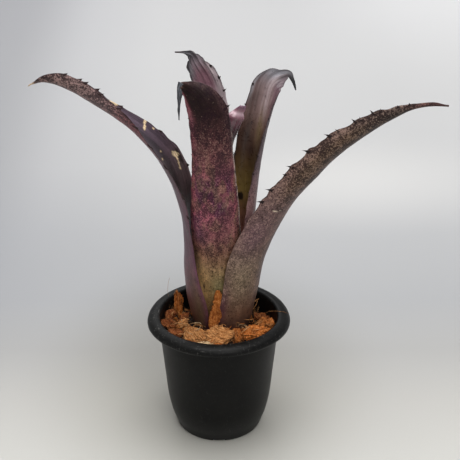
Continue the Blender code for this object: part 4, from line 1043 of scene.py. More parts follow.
def leaf_back_right():
    lf = Leaf("leaf_back_right")
    F, U = lf.F, lf.U
    x, y = lf.flat(F, U)
    q = np.stack([x / 8, y / 14, np.zeros_like(x)], -1).reshape(-1, 3)
    wave = fbm(q, 3, 13).reshape(F.shape) * 0.35 * smooth(0.1, 0.3, F)
    pleat = 0.40 * np.sin(x * 1.25 + 1.0) * smooth(0.70, 0.86, F) * smooth(0.98, 0.93, F)
    lf.push[0] += wave + pleat
    lf.push[1] += wave + pleat
    teeth = [(1, 0.862, 1.0, 0.5), (1, 0.80, 1.2, 0.6), (1, 0.745, 1.1, 0.5), (1, 0.70, 1.1, 0.5), (1, 0.64, 1.2, 0.6),
             (1, 0.58, 1.1, 0.6), (-1, 0.84, 0.9, 0.3), (-1, 0.78, 1.0, 0.4), (-1, 0.72, 1.0, 0.4), (-1, 0.66, 1.0, 0.4),
             (-1, 0.60, 1.0, 0.4), (-1, 0.54, 0.9, 0.3)]
    for sg, f, sz, hk in teeth:
        lf.out += np.where(np.sign(U) == sg, smooth(0.8, 1.0, np.abs(U)), 0) * 0.35 * sz * bump(F, f, 0.011)
    lf.out += smooth(0.85, 1.0, np.abs(U)) * 0.25 * np.sin(F * 100 + 2 * np.sin(F * 41)) * smooth(0.35, 0.5, F)
    extra = [spine(lf, f, sg, sz, hk, (0.030, 0.020, 0.020), base=1.3, thick=0.35) for sg, f, sz, hk in teeth]

    def paint(f, u, side, v):
        inner = keyed(f, [(0, (0.05, 0.035, 0.012)), (0.36, (0.170, 0.062, 0.055)), (0.44, (0.185, 0.085, 0.050)),
                          (0.52, (0.190, 0.125, 0.038)), (0.60, (0.085, 0.050, 0.018)), (0.66, (0.060, 0.030, 0.018)),
                          (0.72, (0.120, 0.068, 0.052)), (0.78, (0.220, 0.140, 0.130)), (0.86, (0.235, 0.165, 0.165)),
                          (0.92, (0.150, 0.130, 0.145)), (0.965, (0.055, 0.058, 0.062)), (1.0, (0.030, 0.028, 0.030))])
        # rosy right edge, brown left half, pale stripes down the middle
        up = smooth(0.70, 0.80, f)
        inner = over(inner, (0.105, 0.050, 0.068), 0.75 * up * smooth(-0.25, -0.55, u) * smooth(0.95, 0.9, f))
        inner = over(inner, (0.045, 0.024, 0.018), 0.65 * bump(u, 0.60, 0.30) * bump(f, 0.74, 0.07))
        inner = over(inner, (0.085, 0.058, 0.052), 0.60 * smooth(0.15, 0.55, u) * bump(f, 0.83, 0.045))
        stripe = 0.9 * bump(u, -0.02, 0.085) + 0.7 * bump(u, 0.17, 0.05) + 0.45 * bump(u, -0.17, 0.05)
        inner = over(inner, (0.40, 0.32, 0.33), 0.80 * np.clip(stripe, 0, 1) * smooth(0.72, 0.82, f) * smooth(0.96, 0.91, f))
        inner = over(inner, (0.125, 0.080, 0.030), 0.7 * bump(u, 0.02, 0.16) * bump(f, 0.725, 0.05))
        inner = over(inner, (0.26, 0.25, 0.27), 0.75 * smooth(0.80, 0.93, u) * smooth(0.79, 0.84, f) * smooth(0.93, 0.89, f))
        inner = over(inner, (0.34, 0.34, 0.38), 0.75 * bump(f, 0.912, 0.026) * smooth(-0.15, 0.35, u))
        inner = over(inner, (0.085, 0.055, 0.066), 0.85 * bump(f, 0.905, 0.035) * smooth(-0.10, -0.45, u))
        inner = over(inner, (0.030, 0.017, 0.014), 0.75 * bump(u, 0.62, 0.22) * bump(f, 0.700, 0.035))
        inner = over(inner, (0.030, 0.016, 0.014), 0.60 * bump(u, 0.35, 0.16) * bump(f, 0.655, 0.030))
        inner = over(inner, (0.180, 0.125, 0.070), 0.55 * bump(u, 0.10, 0.10) * bump(f, 0.750, 0.050))
        outer = keyed(f, [(0, (0.06, 0.035, 0.03)), (0.25, (0.11, 0.075, 0.055)), (0.42, (0.240, 0.125, 0.125)),
                          (0.52, (0.300, 0.180, 0.180)), (0.62, (0.125, 0.082, 0.094)), (0.72, (0.085, 0.058, 0.066)),
                          (0.84, (0.110, 0.075, 0.085)), (0.93, (0.10, 0.10, 0.11)), (1.0, (0.03, 0.028, 0.03))])
        col = np.where((side > 0.5)[:, None], outer, inner)
        n = fbm(np.stack([u * 6, f * 26, side * 3], 1), 4, 51)
        col = col * (1 + 0.25 * n)[:, None]
        blotch = np.exp(-((f - 0.497) / 0.016) ** 2 - ((u - 0.73) / 0.14) ** 2) * (side < 0.5)
        rag = fbm(np.stack([u * 20, f * 90, side], 1), 3, 52)
        col = over(col, (0.010, 0.006, 0.005), 0.95 * smooth(0.35, 0.6, blotch + 0.25 * rag))
        lip = smooth(0.93, 0.99, np.abs(u)) * smooth(0.5, 0.6, f)
        col = over(col, (0.035, 0.022, 0.022), 0.7 * lip)
        dry = smooth(0.90, 0.95, f) * 0.8
        spk = np.where(side > 0.5, 0.35, 0.10 + 0.25 * bump(f, 0.74, 0.06) * smooth(0.2, 0.5, u)) * (1 - dry)
        scf = np.where(side > 0.5, 0.45, 0.10) * (1 - dry)
        return {"tint": col, "spk": spk, "scf": scf, "dry": dry, "gloss": np.where(side > 0.5, 0.2, 0.6) * (1 - dry)}

    me = lf.mesh(paint, extra)
    mat = leaf_material("leaf_back_right_skin", (0.026, 0.012, 0.013), (0.36, 0.31, 0.32), rough=0.42, mottle=0.3)
    add("leaf_back_right_live", me, mat, "leaf_mauve", "leaf_back_right")
    return lf


def leaf_young():
    lf = Leaf("leaf_centre_young", cols=65)
    F, U = lf.F, lf.U
    x, y = lf.flat(F, U)
    q = np.stack([x / 7, y / 12, np.zeros_like(x)], -1).reshape(-1, 3)
    wave = fbm(q, 3, 15).reshape(F.shape) * 0.25
    crease = -0.6 * bump(U, 0.30, 0.10) * smooth(0.80, 0.9, F) - 0.9 * bump(F, 0.950, 0.008) + 0.8 * bump(F, 0.972, 0.007)
    lf.push[0] += wave + crease
    lf.push[1] += wave + crease

    def paint(f, u, side, v):
        # painted highlight: the narrow pale band at f 0.968, with lighter pink to either side, stands in for the light
        # on the crest of the bend; the dark wine below it is the leaf's own colour
        col = keyed(f, [(0, (0.12, 0.09, 0.05)), (0.4, (0.10, 0.07, 0.05)), (0.75, (0.050, 0.022, 0.026)),
                        (0.90, (0.045, 0.016, 0.022)), (0.93, (0.130, 0.048, 0.068)), (0.955, (0.190, 0.085, 0.110)),
                        (0.968, (0.520, 0.360, 0.410)), (0.978, (0.330, 0.170, 0.210)), (0.988, (0.140, 0.060, 0.090)),
                        (1.0, (0.160, 0.085, 0.125))])
        n = fbm(np.stack([u * 5, f * 22, side * 3], 1), 4, 61)
        col = col * (1 + 0.2 * n)[:, None]
        one = np.ones(len(f))
        return {"tint": col, "spk": 0.10 * one, "scf": 0.05 * one, "dry": 0.0 * one, "gloss": 0.9 * one}

    me = lf.mesh(paint)
    mat = leaf_material("leaf_young_skin", (0.05, 0.012, 0.025), (0.50, 0.36, 0.40), rough=0.42, coat=0.35, mottle=0.2)
    add("leaf_young_live", me, mat, "leaf_young", "leaf_centre_young")
    return lf


LEFT, LEFT_THREAD = leaf_left()
RIGHT = leaf_right()
FRONT = leaf_front()
BACK_LEFT = leaf_back_left()
BACK_RIGHT = leaf_back_right()
YOUNG = leaf_young()


# =============================================================== pot
def lathe(profile, segs):
    """profile of (r, z) in mm, closed on itself; returns verts (mm) and quads."""
    a = np.linspace(0, 2 * math.pi, segs, endpoint=False)
    pr = np.array(profile, float)
    v = np.stack([pr[:, 0][:, None] * np.cos(a), pr[:, 0][:, None] * np.sin(a),
                  np.repeat(pr[:, 1][:, None], segs, 1)], -1)
    n = len(pr)
    quads = grid_faces(n, segs, close=True)
    j = np.arange(segs)
    last = np.stack([(n - 1) * segs + j, (n - 1) * segs + (j + 1) % segs, (j + 1) % segs, j], 1)
    return v.reshape(-1, 3), np.concatenate([quads, last])


def round_path(points, per=0.9):
    """A smooth run through control points (r, z): Catmull-Rom, sampled every per mm."""
    p = np.array(points, float)
    ext = np.concatenate([[2 * p[0] - p[1]], p, [2 * p[-1] - p[-2]]])
    out = []
    for i in range(1, len(ext) - 2):
        a, b, c, d = ext[i - 1:i + 3]
        k = max(int(np.linalg.norm(c - b) / per), 1)
        for s in range(k):
            t = s / k
            out.append(0.5 * (2 * b + (c - a) * t + (2 * a - 5 * b + 4 * c - d) * t * t + (3 * b - a - 3 * c + d) * t ** 3))
    out.append(p[-1])
    return out


def pot_material():
    t = Tree("pot_black_plastic")
    o = t.obj()
    grain = t.noise(t.scale(o, (2600.0, 2600.0, 2600.0)), 1.0, 3.0, 0.6)
    cloud = t.noise(t.scale(o, (42.0, 42.0, 42.0)), 1.0, 3.0, 0.55)
    wear = t.attr("wear")
    # scuffs: thin bright hairlines in patches, more of them on the rim's left
    sx = t.noise(t.scale(o, (900.0, 160.0, 420.0)), 1.0, 5.0, 0.72, 0.7)
    sy = t.noise(t.scale(o, (210.0, 1100.0, 300.0)), 1.0, 5.0, 0.72, 0.7)
    hair = t.math("MAXIMUM", t.span(sx, 0.60, 0.66, 0.0, 1.0), t.span(sy, 0.61, 0.67, 0.0, 1.0))
    scuff = t.math("MULTIPLY", hair, wear)
    dust = t.math("MULTIPLY", t.span(t.noise(t.scale(o, (420.0, 420.0, 420.0)), 1.0, 4.0, 0.7), 0.55, 0.78, 0.0, 1.0), 0.35)
    base = t.mix(t.span(cloud, 0.35, 0.65, 0.0, 1.0), (0.0038, 0.0038, 0.0038), (0.0060, 0.0060, 0.0056))
    # painted light: the base colour is lighter towards the bottom of the pot, standing in for light bounced up from the
    # floor
    low = t.t.nodes.new("ShaderNodeSeparateXYZ")
    t.put(low, 0, o)
    base = t.mix(t.span(low.outputs[2], 0.004, 0.026, 1.0, 0.0), base, (0.019, 0.019, 0.0185))
    col = t.mix(t.math("MULTIPLY", scuff, 0.85), base, (0.150, 0.145, 0.140))
    col = t.mix(t.math("MULTIPLY", dust, t.math("ADD", 0.15, wear)), col, (0.055, 0.050, 0.044))
    r = t.math("ADD", 0.40, t.span(cloud, 0.3, 0.7, -0.04, 0.06, False))
    r = t.math("ADD", r, t.math("MULTIPLY", scuff, 0.25), True)
    t.bumps((grain, 0.02, 0.55), (cloud, 0.25, 0.12), (scuff, 0.03, 0.5))
    t.set(color=col, rough=r, spec=0.12)
    return t.mat


def build_pot():
    outer = round_path([(31.4, 0.0), (32.0, 1.2), (33.4, 5.5), (36.0, 13.5), (38.4, 26.0), (40.0, 43.0), (41.75, 61.5), (43.45, 79.6)])
    step = [(43.55, 79.9), (43.9, 80.15), (44.6, 80.35), (44.9, 80.55), (45.0, 80.9), (45.05, 83.0), (45.1, 87.0)]
    under = [(45.3, 88.2), (45.9, 89.1), (46.9, 89.5), (48.2, 89.4), (49.4, 88.9), (50.2, 88.1), (50.75, 87.2), (51.05, 86.4)]
    lip = round_path([(51.2, 85.8), (51.9, 85.9), (52.35, 86.6), (52.5, 87.5), (52.1, 88.8), (51.1, 90.1), (49.4, 91.2),
                      (47.2, 91.85), (45.2, 92.0), (43.9, 91.7), (43.15, 90.8)], 0.5)
    inner = round_path([(42.95, 90.0), (42.3, 82.0), (40.4, 62.0), (38.5, 43.0), (36.8, 26.0), (34.2, 13.0), (31.6, 5.5), (29.6, 3.4),
                        (27.0, 2.45)])
    floor_top = [(r, 2.4) for r in (22.0, 16.0, 9.0, 3.0, 0.4)]
    below = [(0.4, 0.05), (3.0, 0.0), (6.6, 0.0), (7.0, 0.15), (7.5, 0.75), (7.9, 0.9), (14.0, 0.9), (20.0, 0.9), (27.3, 0.9), (27.7, 0.75),
             (28.0, 0.15), (28.4, 0.0), (29.6, 0.0), (30.8, 0.0)]
    profile = outer + step + under + lip + inner + floor_top + below
    v, q = lathe(profile, 168)
    # moulded plastic is never quite true
    ang = np.arctan2(v[:, 1], v[:, 0])
    r = np.hypot(v[:, 0], v[:, 1])
    warp = 0.12 * np.sin(2 * ang + 0.8) + 0.06 * np.sin(3 * ang + v[:, 2] / 30)
    k = 1 + warp * smooth(20, 80, v[:, 2]) / np.maximum(r, 5)
    v[:, 0] *= k
    v[:, 1] *= k
    v[:, 2] += 3.0 * smooth(-0.1, 1.0, -v[:, 1] / 50.0) * smooth(74.0, 80.5, v[:, 2])
    me = fast_mesh("pot_live", v * MM, q)
    bm = bmesh.new()
    bm.from_mesh(me)
    bmesh.ops.remove_doubles(bm, verts=bm.verts, dist=1e-6)
    # turn the faces outwards; the little tube left at the axis stays open
    bmesh.ops.recalc_face_normals(bm, faces=bm.faces)
    bm.to_mesh(me)
    bm.free()
    cut = bmesh.new()
    for i in range(6):
        a = 2 * math.pi * (i + 0.5) / 6
        bmesh.ops.create_cone(cut, cap_ends=True, segments=40, radius1=4.2 * MM, radius2=4.2 * MM, depth=12 * MM,
                              matrix=Matrix.Translation((16.5 * math.cos(a) * MM, 16.5 * math.sin(a) * MM, 2 * MM)))
    for i in range(4):
        a = math.radians(-90 + 90 * i)
        m = (Matrix.Rotation(a, 4, "Z") @ Matrix.Translation((31 * MM, 0, 0)) @ Matrix.Diagonal((9 * MM, 9 * MM, 1.8 * MM, 1)))
        bmesh.ops.create_cube(cut, size=1.0, matrix=m)
    cme = bpy.data.meshes.new("pot_cut")
    cut.to_mesh(cme)
    cut.free()
    cob = bpy.data.objects.new("pot_cut", cme)
    scene.collection.objects.link(cob)
    ob = bpy.data.objects.new("pot_tmp", me)
    scene.collection.objects.link(ob)
    mod = ob.modifiers.new("cut", "BOOLEAN")
    mod.operation = "DIFFERENCE"
    mod.solver = "EXACT"
    mod.object = cob
    bpy.context.view_layer.update()
    dg = bpy.context.evaluated_depsgraph_get()
    done = bpy.data.meshes.new_from_object(ob.evaluated_get(dg))
    bpy.data.objects.remove(ob, do_unlink=True)
    bpy.data.objects.remove(cob, do_unlink=True)
    done.name = "pot_live"
    done.materials.clear()
    done.shade_smooth()
    done.set_sharp_from_angle(angle=math.radians(38))
    co = np.zeros(len(done.vertices) * 3, np.float32)
    done.vertices.foreach_get("co", co)
    co = co.reshape(-1, 3) / MM
    a = np.degrees(np.arctan2(co[:, 1], co[:, 0]))
    rim = smooth(84, 88, co[:, 2])
    left = bump(a, -152, 38) + bump(a, 208, 38)
    wear = 0.10 + rim * (0.25 + 1.1 * left) + 0.15 * bump(co[:, 2], 12, 9)
    set_attr(done, "wear", "FLOAT", np.clip(wear, 0, 1))
    add("pot_live", done, pot_material(), "pot_plastic", "pot")


build_pot()


# =============================================================== mix, stem
AXIS = (2.0, 13.0)


def mix_material():
    t = Tree("mix_dark_bark")
    o = t.obj()
    a = t.noise(t.scale(o, (260.0, 260.0, 260.0)), 1.0, 5.0, 0.65, 0.4)
    b = t.noise(t.scale(o, (1400.0, 1400.0, 1400.0)), 1.0, 4.0, 0.7)
    col = t.ramp(a, [(0.30, (0.006, 0.004, 0.003)), (0.48, (0.022, 0.012, 0.008)), (0.62, (0.052, 0.026, 0.013)), (0.78, (0.110, 0.050, 0.020))])
    col = t.mix(0.5, col, t.grey(b), "OVERLAY")
    t.bumps((a, 1.2, 0.6), (b, 0.25, 0.8))
    t.set(color=col, rough=t.span(b, 0.3, 0.7, 0.78, 0.98, False), spec=0.25)
    return t.mat


def mix_height(x, y):
    """Top of the mix at (x, y) in mm, as the CAD solid has it."""
    a = np.arctan2(y - AXIS[1] * 0.3, x - AXIS[0] * 0.3)
    h = 0.8 * np.sin(3 * a + 0.6) + 0.6 * np.sin(5 * a + 2.0) + 0.4 * np.sin(8 * a)
    away = np.arctan2(np.sin(a - 0.7), np.cos(a - 0.7))
    return 75.0 + h + 4.0 * np.cos(a + 2.0) - 3.0 * np.exp(-(away / 0.6) ** 2)


def build_mix():
    segs = 220
    prof_r = [0.25, 15.0, 28.0, 30.5, 33.0, 35.6, 37.8, 38.6, 39.4, 40.2, 40.7]
    prof_z = [4.4, 4.4, 4.4, 7.6, 12.5, 26.0, 43.0, 52.0, 61.0, 69.0, 73.5]
    a = np.linspace(0, 2 * math.pi, segs, endpoint=False)
    rings = []
    for r, z in zip(prof_r, prof_z):
        rings.append(np.stack([r * np.cos(a), r * np.sin(a), np.full(segs, z)], 1))
    # the top, ring by ring from the wall in to the well, centre moving to the rosette's axis
    steps = 46
    for i in range(steps + 1):
        k = i / steps
        r = 40.6 + (17.6 - 40.6) * k
        cx, cy = AXIS[0] * smooth(0, 1, k), AXIS[1] * smooth(0.0, 1.0, k)
        x, y = cx + r * np.cos(a), cy + r * np.sin(a)
        # keep inside the wall
        rad = np.hypot(x, y)
        lim = np.minimum(1.0, 40.6 / rad)
        x, y = x * lim, y * lim
        z = mix_height(x, y) - 1.5 * smooth(0.9, 1.0, k)
        p = np.stack([x / 2.6, y / 2.6, np.full(segs, 0.3)], 1)
        rough = fbm(p, 5, 71, 0.62)
        ridge = np.abs(fbm(p * 1.7 + 9, 3, 72))
        z = z + (2.6 * rough - 2.2 * ridge) * smooth(0, 0.06, k) * smooth(1.0, 0.92, k)
        rings.append(np.stack([x, y, z], 1))
    for r, z in ((17.2, 66.0), (17.0, 62.0), (16.9, 61.2), (6.6, 61.2), (6.5, 40.0), (6.5, 21.0), (3.4, 17.4), (0.2, 17.4)):
        rings.append(np.stack([AXIS[0] + r * np.cos(a), AXIS[1] + r * np.sin(a), np.full(segs, z)], 1))
    v = np.concatenate(rings)
    n = len(rings)
    q = grid_faces(n, segs, close=True)
    c0, c1 = len(v), len(v) + 1
    v = np.concatenate([v, [[0, 0, 4.4]], [[AXIS[0], AXIS[1], 17.4]]])
    j = np.arange(segs)
    tri = np.concatenate([np.stack([np.full(segs, c0), (j + 1) % segs, j], 1),
                          np.stack([np.full(segs, c1), (n - 1) * segs + j, (n - 1) * segs + (j + 1) % segs], 1)])
    me = fast_mesh("mix_live", v * MM, q, tri)
    bm = bmesh.new()
    bm.from_mesh(me)
    bmesh.ops.recalc_face_normals(bm, faces=bm.faces)
    bm.to_mesh(me)
    bm.free()
    add("mix_live", me, mix_material(), "potting_mix", "potting_mix")


build_mix()


def build_stem():
    segs, rows = 56, 120
    zs = np.linspace(18.0, 73.0, rows)
    a = np.linspace(0, 2 * math.pi, segs, endpoint=False)
    rings = []
    for z in zs:
        r = 5.5 * smooth(17.0, 24.0, z) + 0.4 - 2.2 * smooth(64, 73, z)
        scar = (z / 7.0 + 0.12 * np.sin(3 * a)) % 1.0
        rr = r - 0.45 * np.exp(-((scar - 0.5) / 0.16) ** 2) + 0.16 * fbm(np.stack([a * 4, np.full(segs, z / 2), np.zeros(segs)], 1), 3, 81)
        rings.append(np.stack([AXIS[0] + rr * np.cos(a), AXIS[1] + rr * np.sin(a), np.full(segs, z)], 1))
    v = np.concatenate(rings)
    q = grid_faces(rows, segs, close=True)
    j = np.arange(segs)
    c0, c1 = len(v), len(v) + 1
    v = np.concatenate([v, [[AXIS[0], AXIS[1], 17.9]], [[AXIS[0], AXIS[1], 73.0]]])
    tri = np.concatenate([np.stack([np.full(segs, c0), (j + 1) % segs, j], 1),
                          np.stack([np.full(segs, c1), (rows - 1) * segs + j, (rows - 1) * segs + (j + 1) % segs], 1)])
    me = fast_mesh("stem_live", v * MM, q, tri)
    t = Tree("stem_bark")
    o = t.obj()
    s = t.noise(t.scale(o, (700.0, 700.0, 90.0)), 1.0, 4.0, 0.6)
    t.bumps((s, 0.4, 0.7))
    t.set(color=t.ramp(s, [(0.3, (0.030, 0.016, 0.010)), (0.7, (0.12, 0.07, 0.042))]), rough=0.85)
    add("stem_live", me, t.mat, "stem_wood", "stem_base")


build_stem()


# =============================================================== husk chips, crumbs and fibres
CHIPS = [
    ("husk_chip_01", (-30.5, 22.0, 86.8), (17, 7.5, 3.2), (-0.15, 0.30, 1.0), (0.5, -1.0, 0.3), 1),
    ("husk_chip_02", (-36.0, 10.5, 85.5), (11, 6.5, 4.5), (0.3, 1.0, 0.3), (-0.2, -0.4, 1.0), 2),
    ("husk_chip_03", (-36.0, -1.5, 85.0), (10, 7.5, 4.5), (0.8, -0.5, 0.1), (0.1, -0.4, 1.0), 3),
    ("husk_chip_04", (-27.3, -0.2, 84.5), (7.5, 5.0, 3.8), (1.0, 0.4, 0.2), (0.2, -0.5, 1.0), 4),
    ("husk_chip_05", (-31.0, -14.5, 85.5), (10, 6.5, 4.0), (0.8, -0.6, 0.1), (-0.2, -0.5, 1.0), 5),
    ("husk_chip_06", (-16.6, -17.8, 85.6), (16, 12, 4.0), (0.8, -0.55, -0.1), (-0.1, -0.45, 1.0), 6),
    ("husk_chip_07", (-10.5, -32.5, 87.6), (10, 3.4, 2.0), (1.0, -0.12, 0.0), (0.0, -0.5, 1.0), 7),
    ("husk_chip_08", (1.5, -21.5, 86.0), (16, 14, 5.0), (1.0, -0.1, 0.1), (0.05, -0.4, 1.0), 8),
    ("husk_chip_09", (14.8, -17.5, 86.0), (12, 7.5, 5.0), (0.1, 1.0, 0.1), (0.2, -0.3, 1.0), 9),
    ("husk_chip_10", (28.0, -15.5, 86.0), (19, 10.5, 5.5), (1.0, 0.45, 0.0), (-0.1, -0.35, 1.0), 10),
    ("husk_chip_11", (37.5, -3.0, 85.2), (8, 5.5, 4.0), (0.3, 1.0, 0.1), (0.1, -0.3, 1.0), 11),
    ("husk_chip_12", (31.3, 18.6, 77.0), (12, 7.0, 4.5), (-0.6, 0.8, 0.25), (0.3, -0.6, 1.0), 12),
    ("husk_chip_13", (31.5, 3.5, 82.0), (9, 6.0, 4.0), (0.2, 1.0, 0.2), (-0.3, -0.3, 1.0), 13),
    ("husk_chip_14", (-21.5, -29.0, 85.0), (9, 5.5, 4.0), (0.8, -0.6, 0.0), (-0.1, -0.2, 1.0), 14),
    ("husk_chip_15", (14.5, -32.5, 85.2), (13, 6.0, 4.0), (1.0, 0.35, 0.0), (0.0, -0.2, 1.0), 15),
    ("husk_chip_16", (3.0, 36.2, 79.5), (5, 12, 4.0), (0.1, -0.2, 1.0), (0.0, -1.0, -0.2), 16),
    ("husk_chip_17", (-14.0, 33.8, 80.5), (11, 5.0, 4.0), (1.0, 0.35, 0.1), (0.2, -0.5, 1.0), 17),
    ("husk_chip_18", (17.5, 30.5, 76.5), (12, 5.5, 4.0), (1.0, -0.5, 0.1), (0.1, -0.3, 1.0), 18),
    ("husk_chip_19", (-26.5, 10.0, 82.0), (8.5, 5.0, 3.6), (0.2, 1.0, 0.1), (0.3, -0.2, 1.0), 19),
    ("husk_chip_20", (-22.0, -7.5, 82.8), (6.5, 4.6, 3.2), (0.5, -1.0, 0.0), (0.3, -0.2, 1.0), 20),
    ("husk_chip_21", (0.0, -33.8, 86.6), (10, 4.2, 3.2), (1.0, 0.0, 0.0), (0.0, -0.3, 1.0), 21),
    ("husk_chip_22", (-3.9, -10.9, 98.0), (22, 6.0, 1.5), (0.06, 0.02, 1.0), (0.1, -1.0, 0.0), 22),
]
TONE = {"husk_orange": ((0.20, 0.046, 0.009), (0.62, 0.205, 0.048), (0.82, 0.400, 0.130)),
        "husk_brown": ((0.070, 0.020, 0.008), (0.30, 0.088, 0.024), (0.56, 0.220, 0.068)),
        "husk_tan": ((0.20, 0.062, 0.018), (0.58, 0.265, 0.092), (0.80, 0.480, 0.215)),
        "husk_cream": ((0.35, 0.20, 0.09), (0.66, 0.47, 0.26), (0.80, 0.64, 0.42)),
        "husk_fibre": ((0.20, 0.085, 0.030), (0.44, 0.215, 0.085), (0.64, 0.40, 0.19))}
SLOT_OF = {1: "husk_orange", 2: "husk_brown", 3: "husk_brown", 4: "husk_tan", 5: "husk_brown", 6: "husk_tan", 7: "husk_cream",
           8: "husk_tan", 9: "husk_orange", 10: "husk_orange", 11: "husk_orange", 12: "husk_brown", 13: "husk_orange",
           14: "husk_brown", 15: "husk_orange", 16: "husk_brown", 17: "husk_brown", 18: "husk_brown", 19: "husk_brown",
           20: "husk_tan", 21: "husk_orange", 22: "husk_brown"}


def husk_material(slot):
    lo, mid, hi = TONE[slot]
    t = Tree(slot + "_fibrous")
    loc = t.attr("loc", "Vector")          # mm along, across and through the chip, plus a seed shift
    fib = t.noise(t.scale(loc, (0.035, 1.7, 1.7)), 1.0, 5.0, 0.70, 0.12)
    pith = t.noise(t.scale(loc, (0.55, 0.75, 0.75)), 1.0, 4.0, 0.65, 0.3)
    fleck = t.noise(t.scale(loc, (2.6, 3.4, 3.4)), 1.0, 3.0, 0.6)
    col = t.ramp(fib, [(0.28, lo), (0.50, mid), (0.74, hi)])
    col = t.mix(t.span(pith, 0.38, 0.62, 0.75, 0.0), col, t.hsv(col, 0.487, 1.12, 0.45))
    col = t.mix(t.span(fleck, 0.60, 0.74, 0.0, 0.65), col, hi)
    # painted shade: the colour goes dark where the vertex data marks cracks and hollows in the chips and crumbs; on the
    # scrap the same data darkens it in patches and towards its side edges
    cav = t.attr("cav")
    col = t.mix(cav, col, t.hsv(col, 0.49, 1.1, 0.22))
    col = t.mix(1.0, col, t.grey(t.attr("tone")), "MULTIPLY")
    t.bumps((fib, 0.9, 0.75), (pith, 0.8, 0.5), (fleck, 0.25, 0.6))
    t.set(color=col, rough=t.span(fib, 0.3, 0.7, 0.95, 0.75, False), spec=0.22)
    return t.mat


HUSK = {k: husk_material(k) for k in TONE}


def chip_frame(along, facing):
    x = np.array(along, float)
    x /= np.linalg.norm(x)
    z = np.array(facing, float)
    z -= x * (z @ x)
    z /= np.linalg.norm(z)
    return x, np.cross(z, x), z


def chip_shape(size, seed, n=26):
    """A torn, fibrous slab in its own axes (mm): a block cut by slanting planes, grooved along its
    length, bowed, and broken raggedly at its ends."""
    L, W, T = size
    lin = np.linspace(-1, 1, n)
    pts, quads = [], []
    base = 0
    for ax in range(3):
        for sg in (-1, 1):
            a, b = np.meshgrid(lin, lin, indexing="ij")
            c = np.full_like(a, sg)
            tri = [None] * 3
            tri[ax], tri[(ax + 1) % 3], tri[(ax + 2) % 3] = c, a, b
            pts.append(np.stack(tri, -1).reshape(-1, 3))
            quads.append(grid_faces(n, n, base, flip=(sg < 0)))
            base += n * n
    p = np.concatenate(pts)
    q = np.concatenate(quads)
    r = rng(900 + seed)
    # corners knocked off in plan, then slanting faces above and below
    for k in range(6):
        a = math.radians(r.uniform(22, 68) + 90 * (k % 4))
        d = np.array([math.cos(a), math.sin(a), r.uniform(-0.35, 0.35)])
        d /= np.linalg.norm(d)
        lim = r.uniform(0.66, 1.05)
        p = p - np.outer(np.clip(p @ d - lim, 0, None), d)
    for k in range(4):
        a = r.uniform(0, 2 * math.pi)
        d = np.array([0.42 * math.cos(a), 0.60 * math.sin(a), 1.0 if k % 2 else -1.0])
        d /= np.linalg.norm(d)
        lim = r.uniform(0.42, 0.80)
        p = p - np.outer(np.clip(p @ d - lim, 0, None), d)
    out = p * np.array([L, W, T]) * 0.56
    sp = np.array([seed * 7.1, seed * 3.3, seed * 5.7])
    nrm = p / (np.linalg.norm(p, axis=1)[:, None] + 1e-9)
    tilt = r.uniform(-0.5, 0.5)
    g = np.stack([out[:, 0] * math.cos(tilt) + out[:, 1] * math.sin(tilt), out[:, 1] * math.cos(tilt) - out[:, 0] * math.sin(tilt),
                  out[:, 2]], 1)
    strand = fbm(g * np.array([0.05, 1.05, 1.05]) + sp, 3, 91, 0.62)
    split = fbm(g * np.array([0.06, 0.36, 0.36]) + sp * 1.3, 2, 96, 0.5)
    crack = smooth(0.075, 0.0, np.abs(split))
    lumps = fbm(out * 0.30 + sp, 3, 92)
    amp = min(W, T * 1.6) * 0.13
    out = out + nrm * (amp * 1.15 * strand + amp * 1.0 * lumps - amp * 0.95 * crack)[:, None]
    # bow and twist
    kx = out[:, 0] / (L * 0.5)
    out[:, 2] += 0.10 * T * r.uniform(-1.6, 1.6) * kx ** 2
    tw = r.uniform(-0.35, 0.35) * kx
    y, z = out[:, 1].copy(), out[:, 2].copy()
    out[:, 1], out[:, 2] = y * np.cos(tw) - z * np.sin(tw), y * np.sin(tw) + z * np.cos(tw)
    # splintered ends
    end = smooth(0.60, 1.0, np.abs(p[:, 0]))
    tear = fbm(np.stack([out[:, 1] * 1.1, out[:, 2] * 1.5, np.sign(p[:, 0]) * 5], 1) + sp, 3, 94, 0.75)
    out[:, 0] += np.sign(p[:, 0]) * end * (tear * 0.17 * L - 0.02 * L)
    edge = smooth(0.70, 1.0, np.abs(p[:, 1]))
    fray = fbm(np.stack([out[:, 0] * 0.7, out[:, 2] * 1.2, np.sign(p[:, 1]) * 7], 1) + sp, 3, 95, 0.7)
    out[:, 1] += np.sign(p[:, 1]) * edge * fray * 0.16 * W
    # painted shade: darkening in the cracks and in the hollows of the lumpy, grooved surface
    cav = np.clip(0.75 * crack - strand * 1.5 - lumps * 0.9 - 0.12, 0, 1) * 0.85
    loc = np.stack([out[:, 0] * math.cos(tilt) + out[:, 1] * math.sin(tilt), out[:, 1] * math.cos(tilt) - out[:, 0] * math.sin(tilt),
                    out[:, 2]], 1) + sp * 9
    return out, q, cav, loc


def weld(me, dist=2e-6):
    bm = bmesh.new()
    bm.from_mesh(me)
    bmesh.ops.remove_doubles(bm, verts=bm.verts, dist=dist)
    bmesh.ops.recalc_face_normals(bm, faces=bm.faces)
    bm.to_mesh(me)
    bm.free()
    me.shade_smooth()
    return me


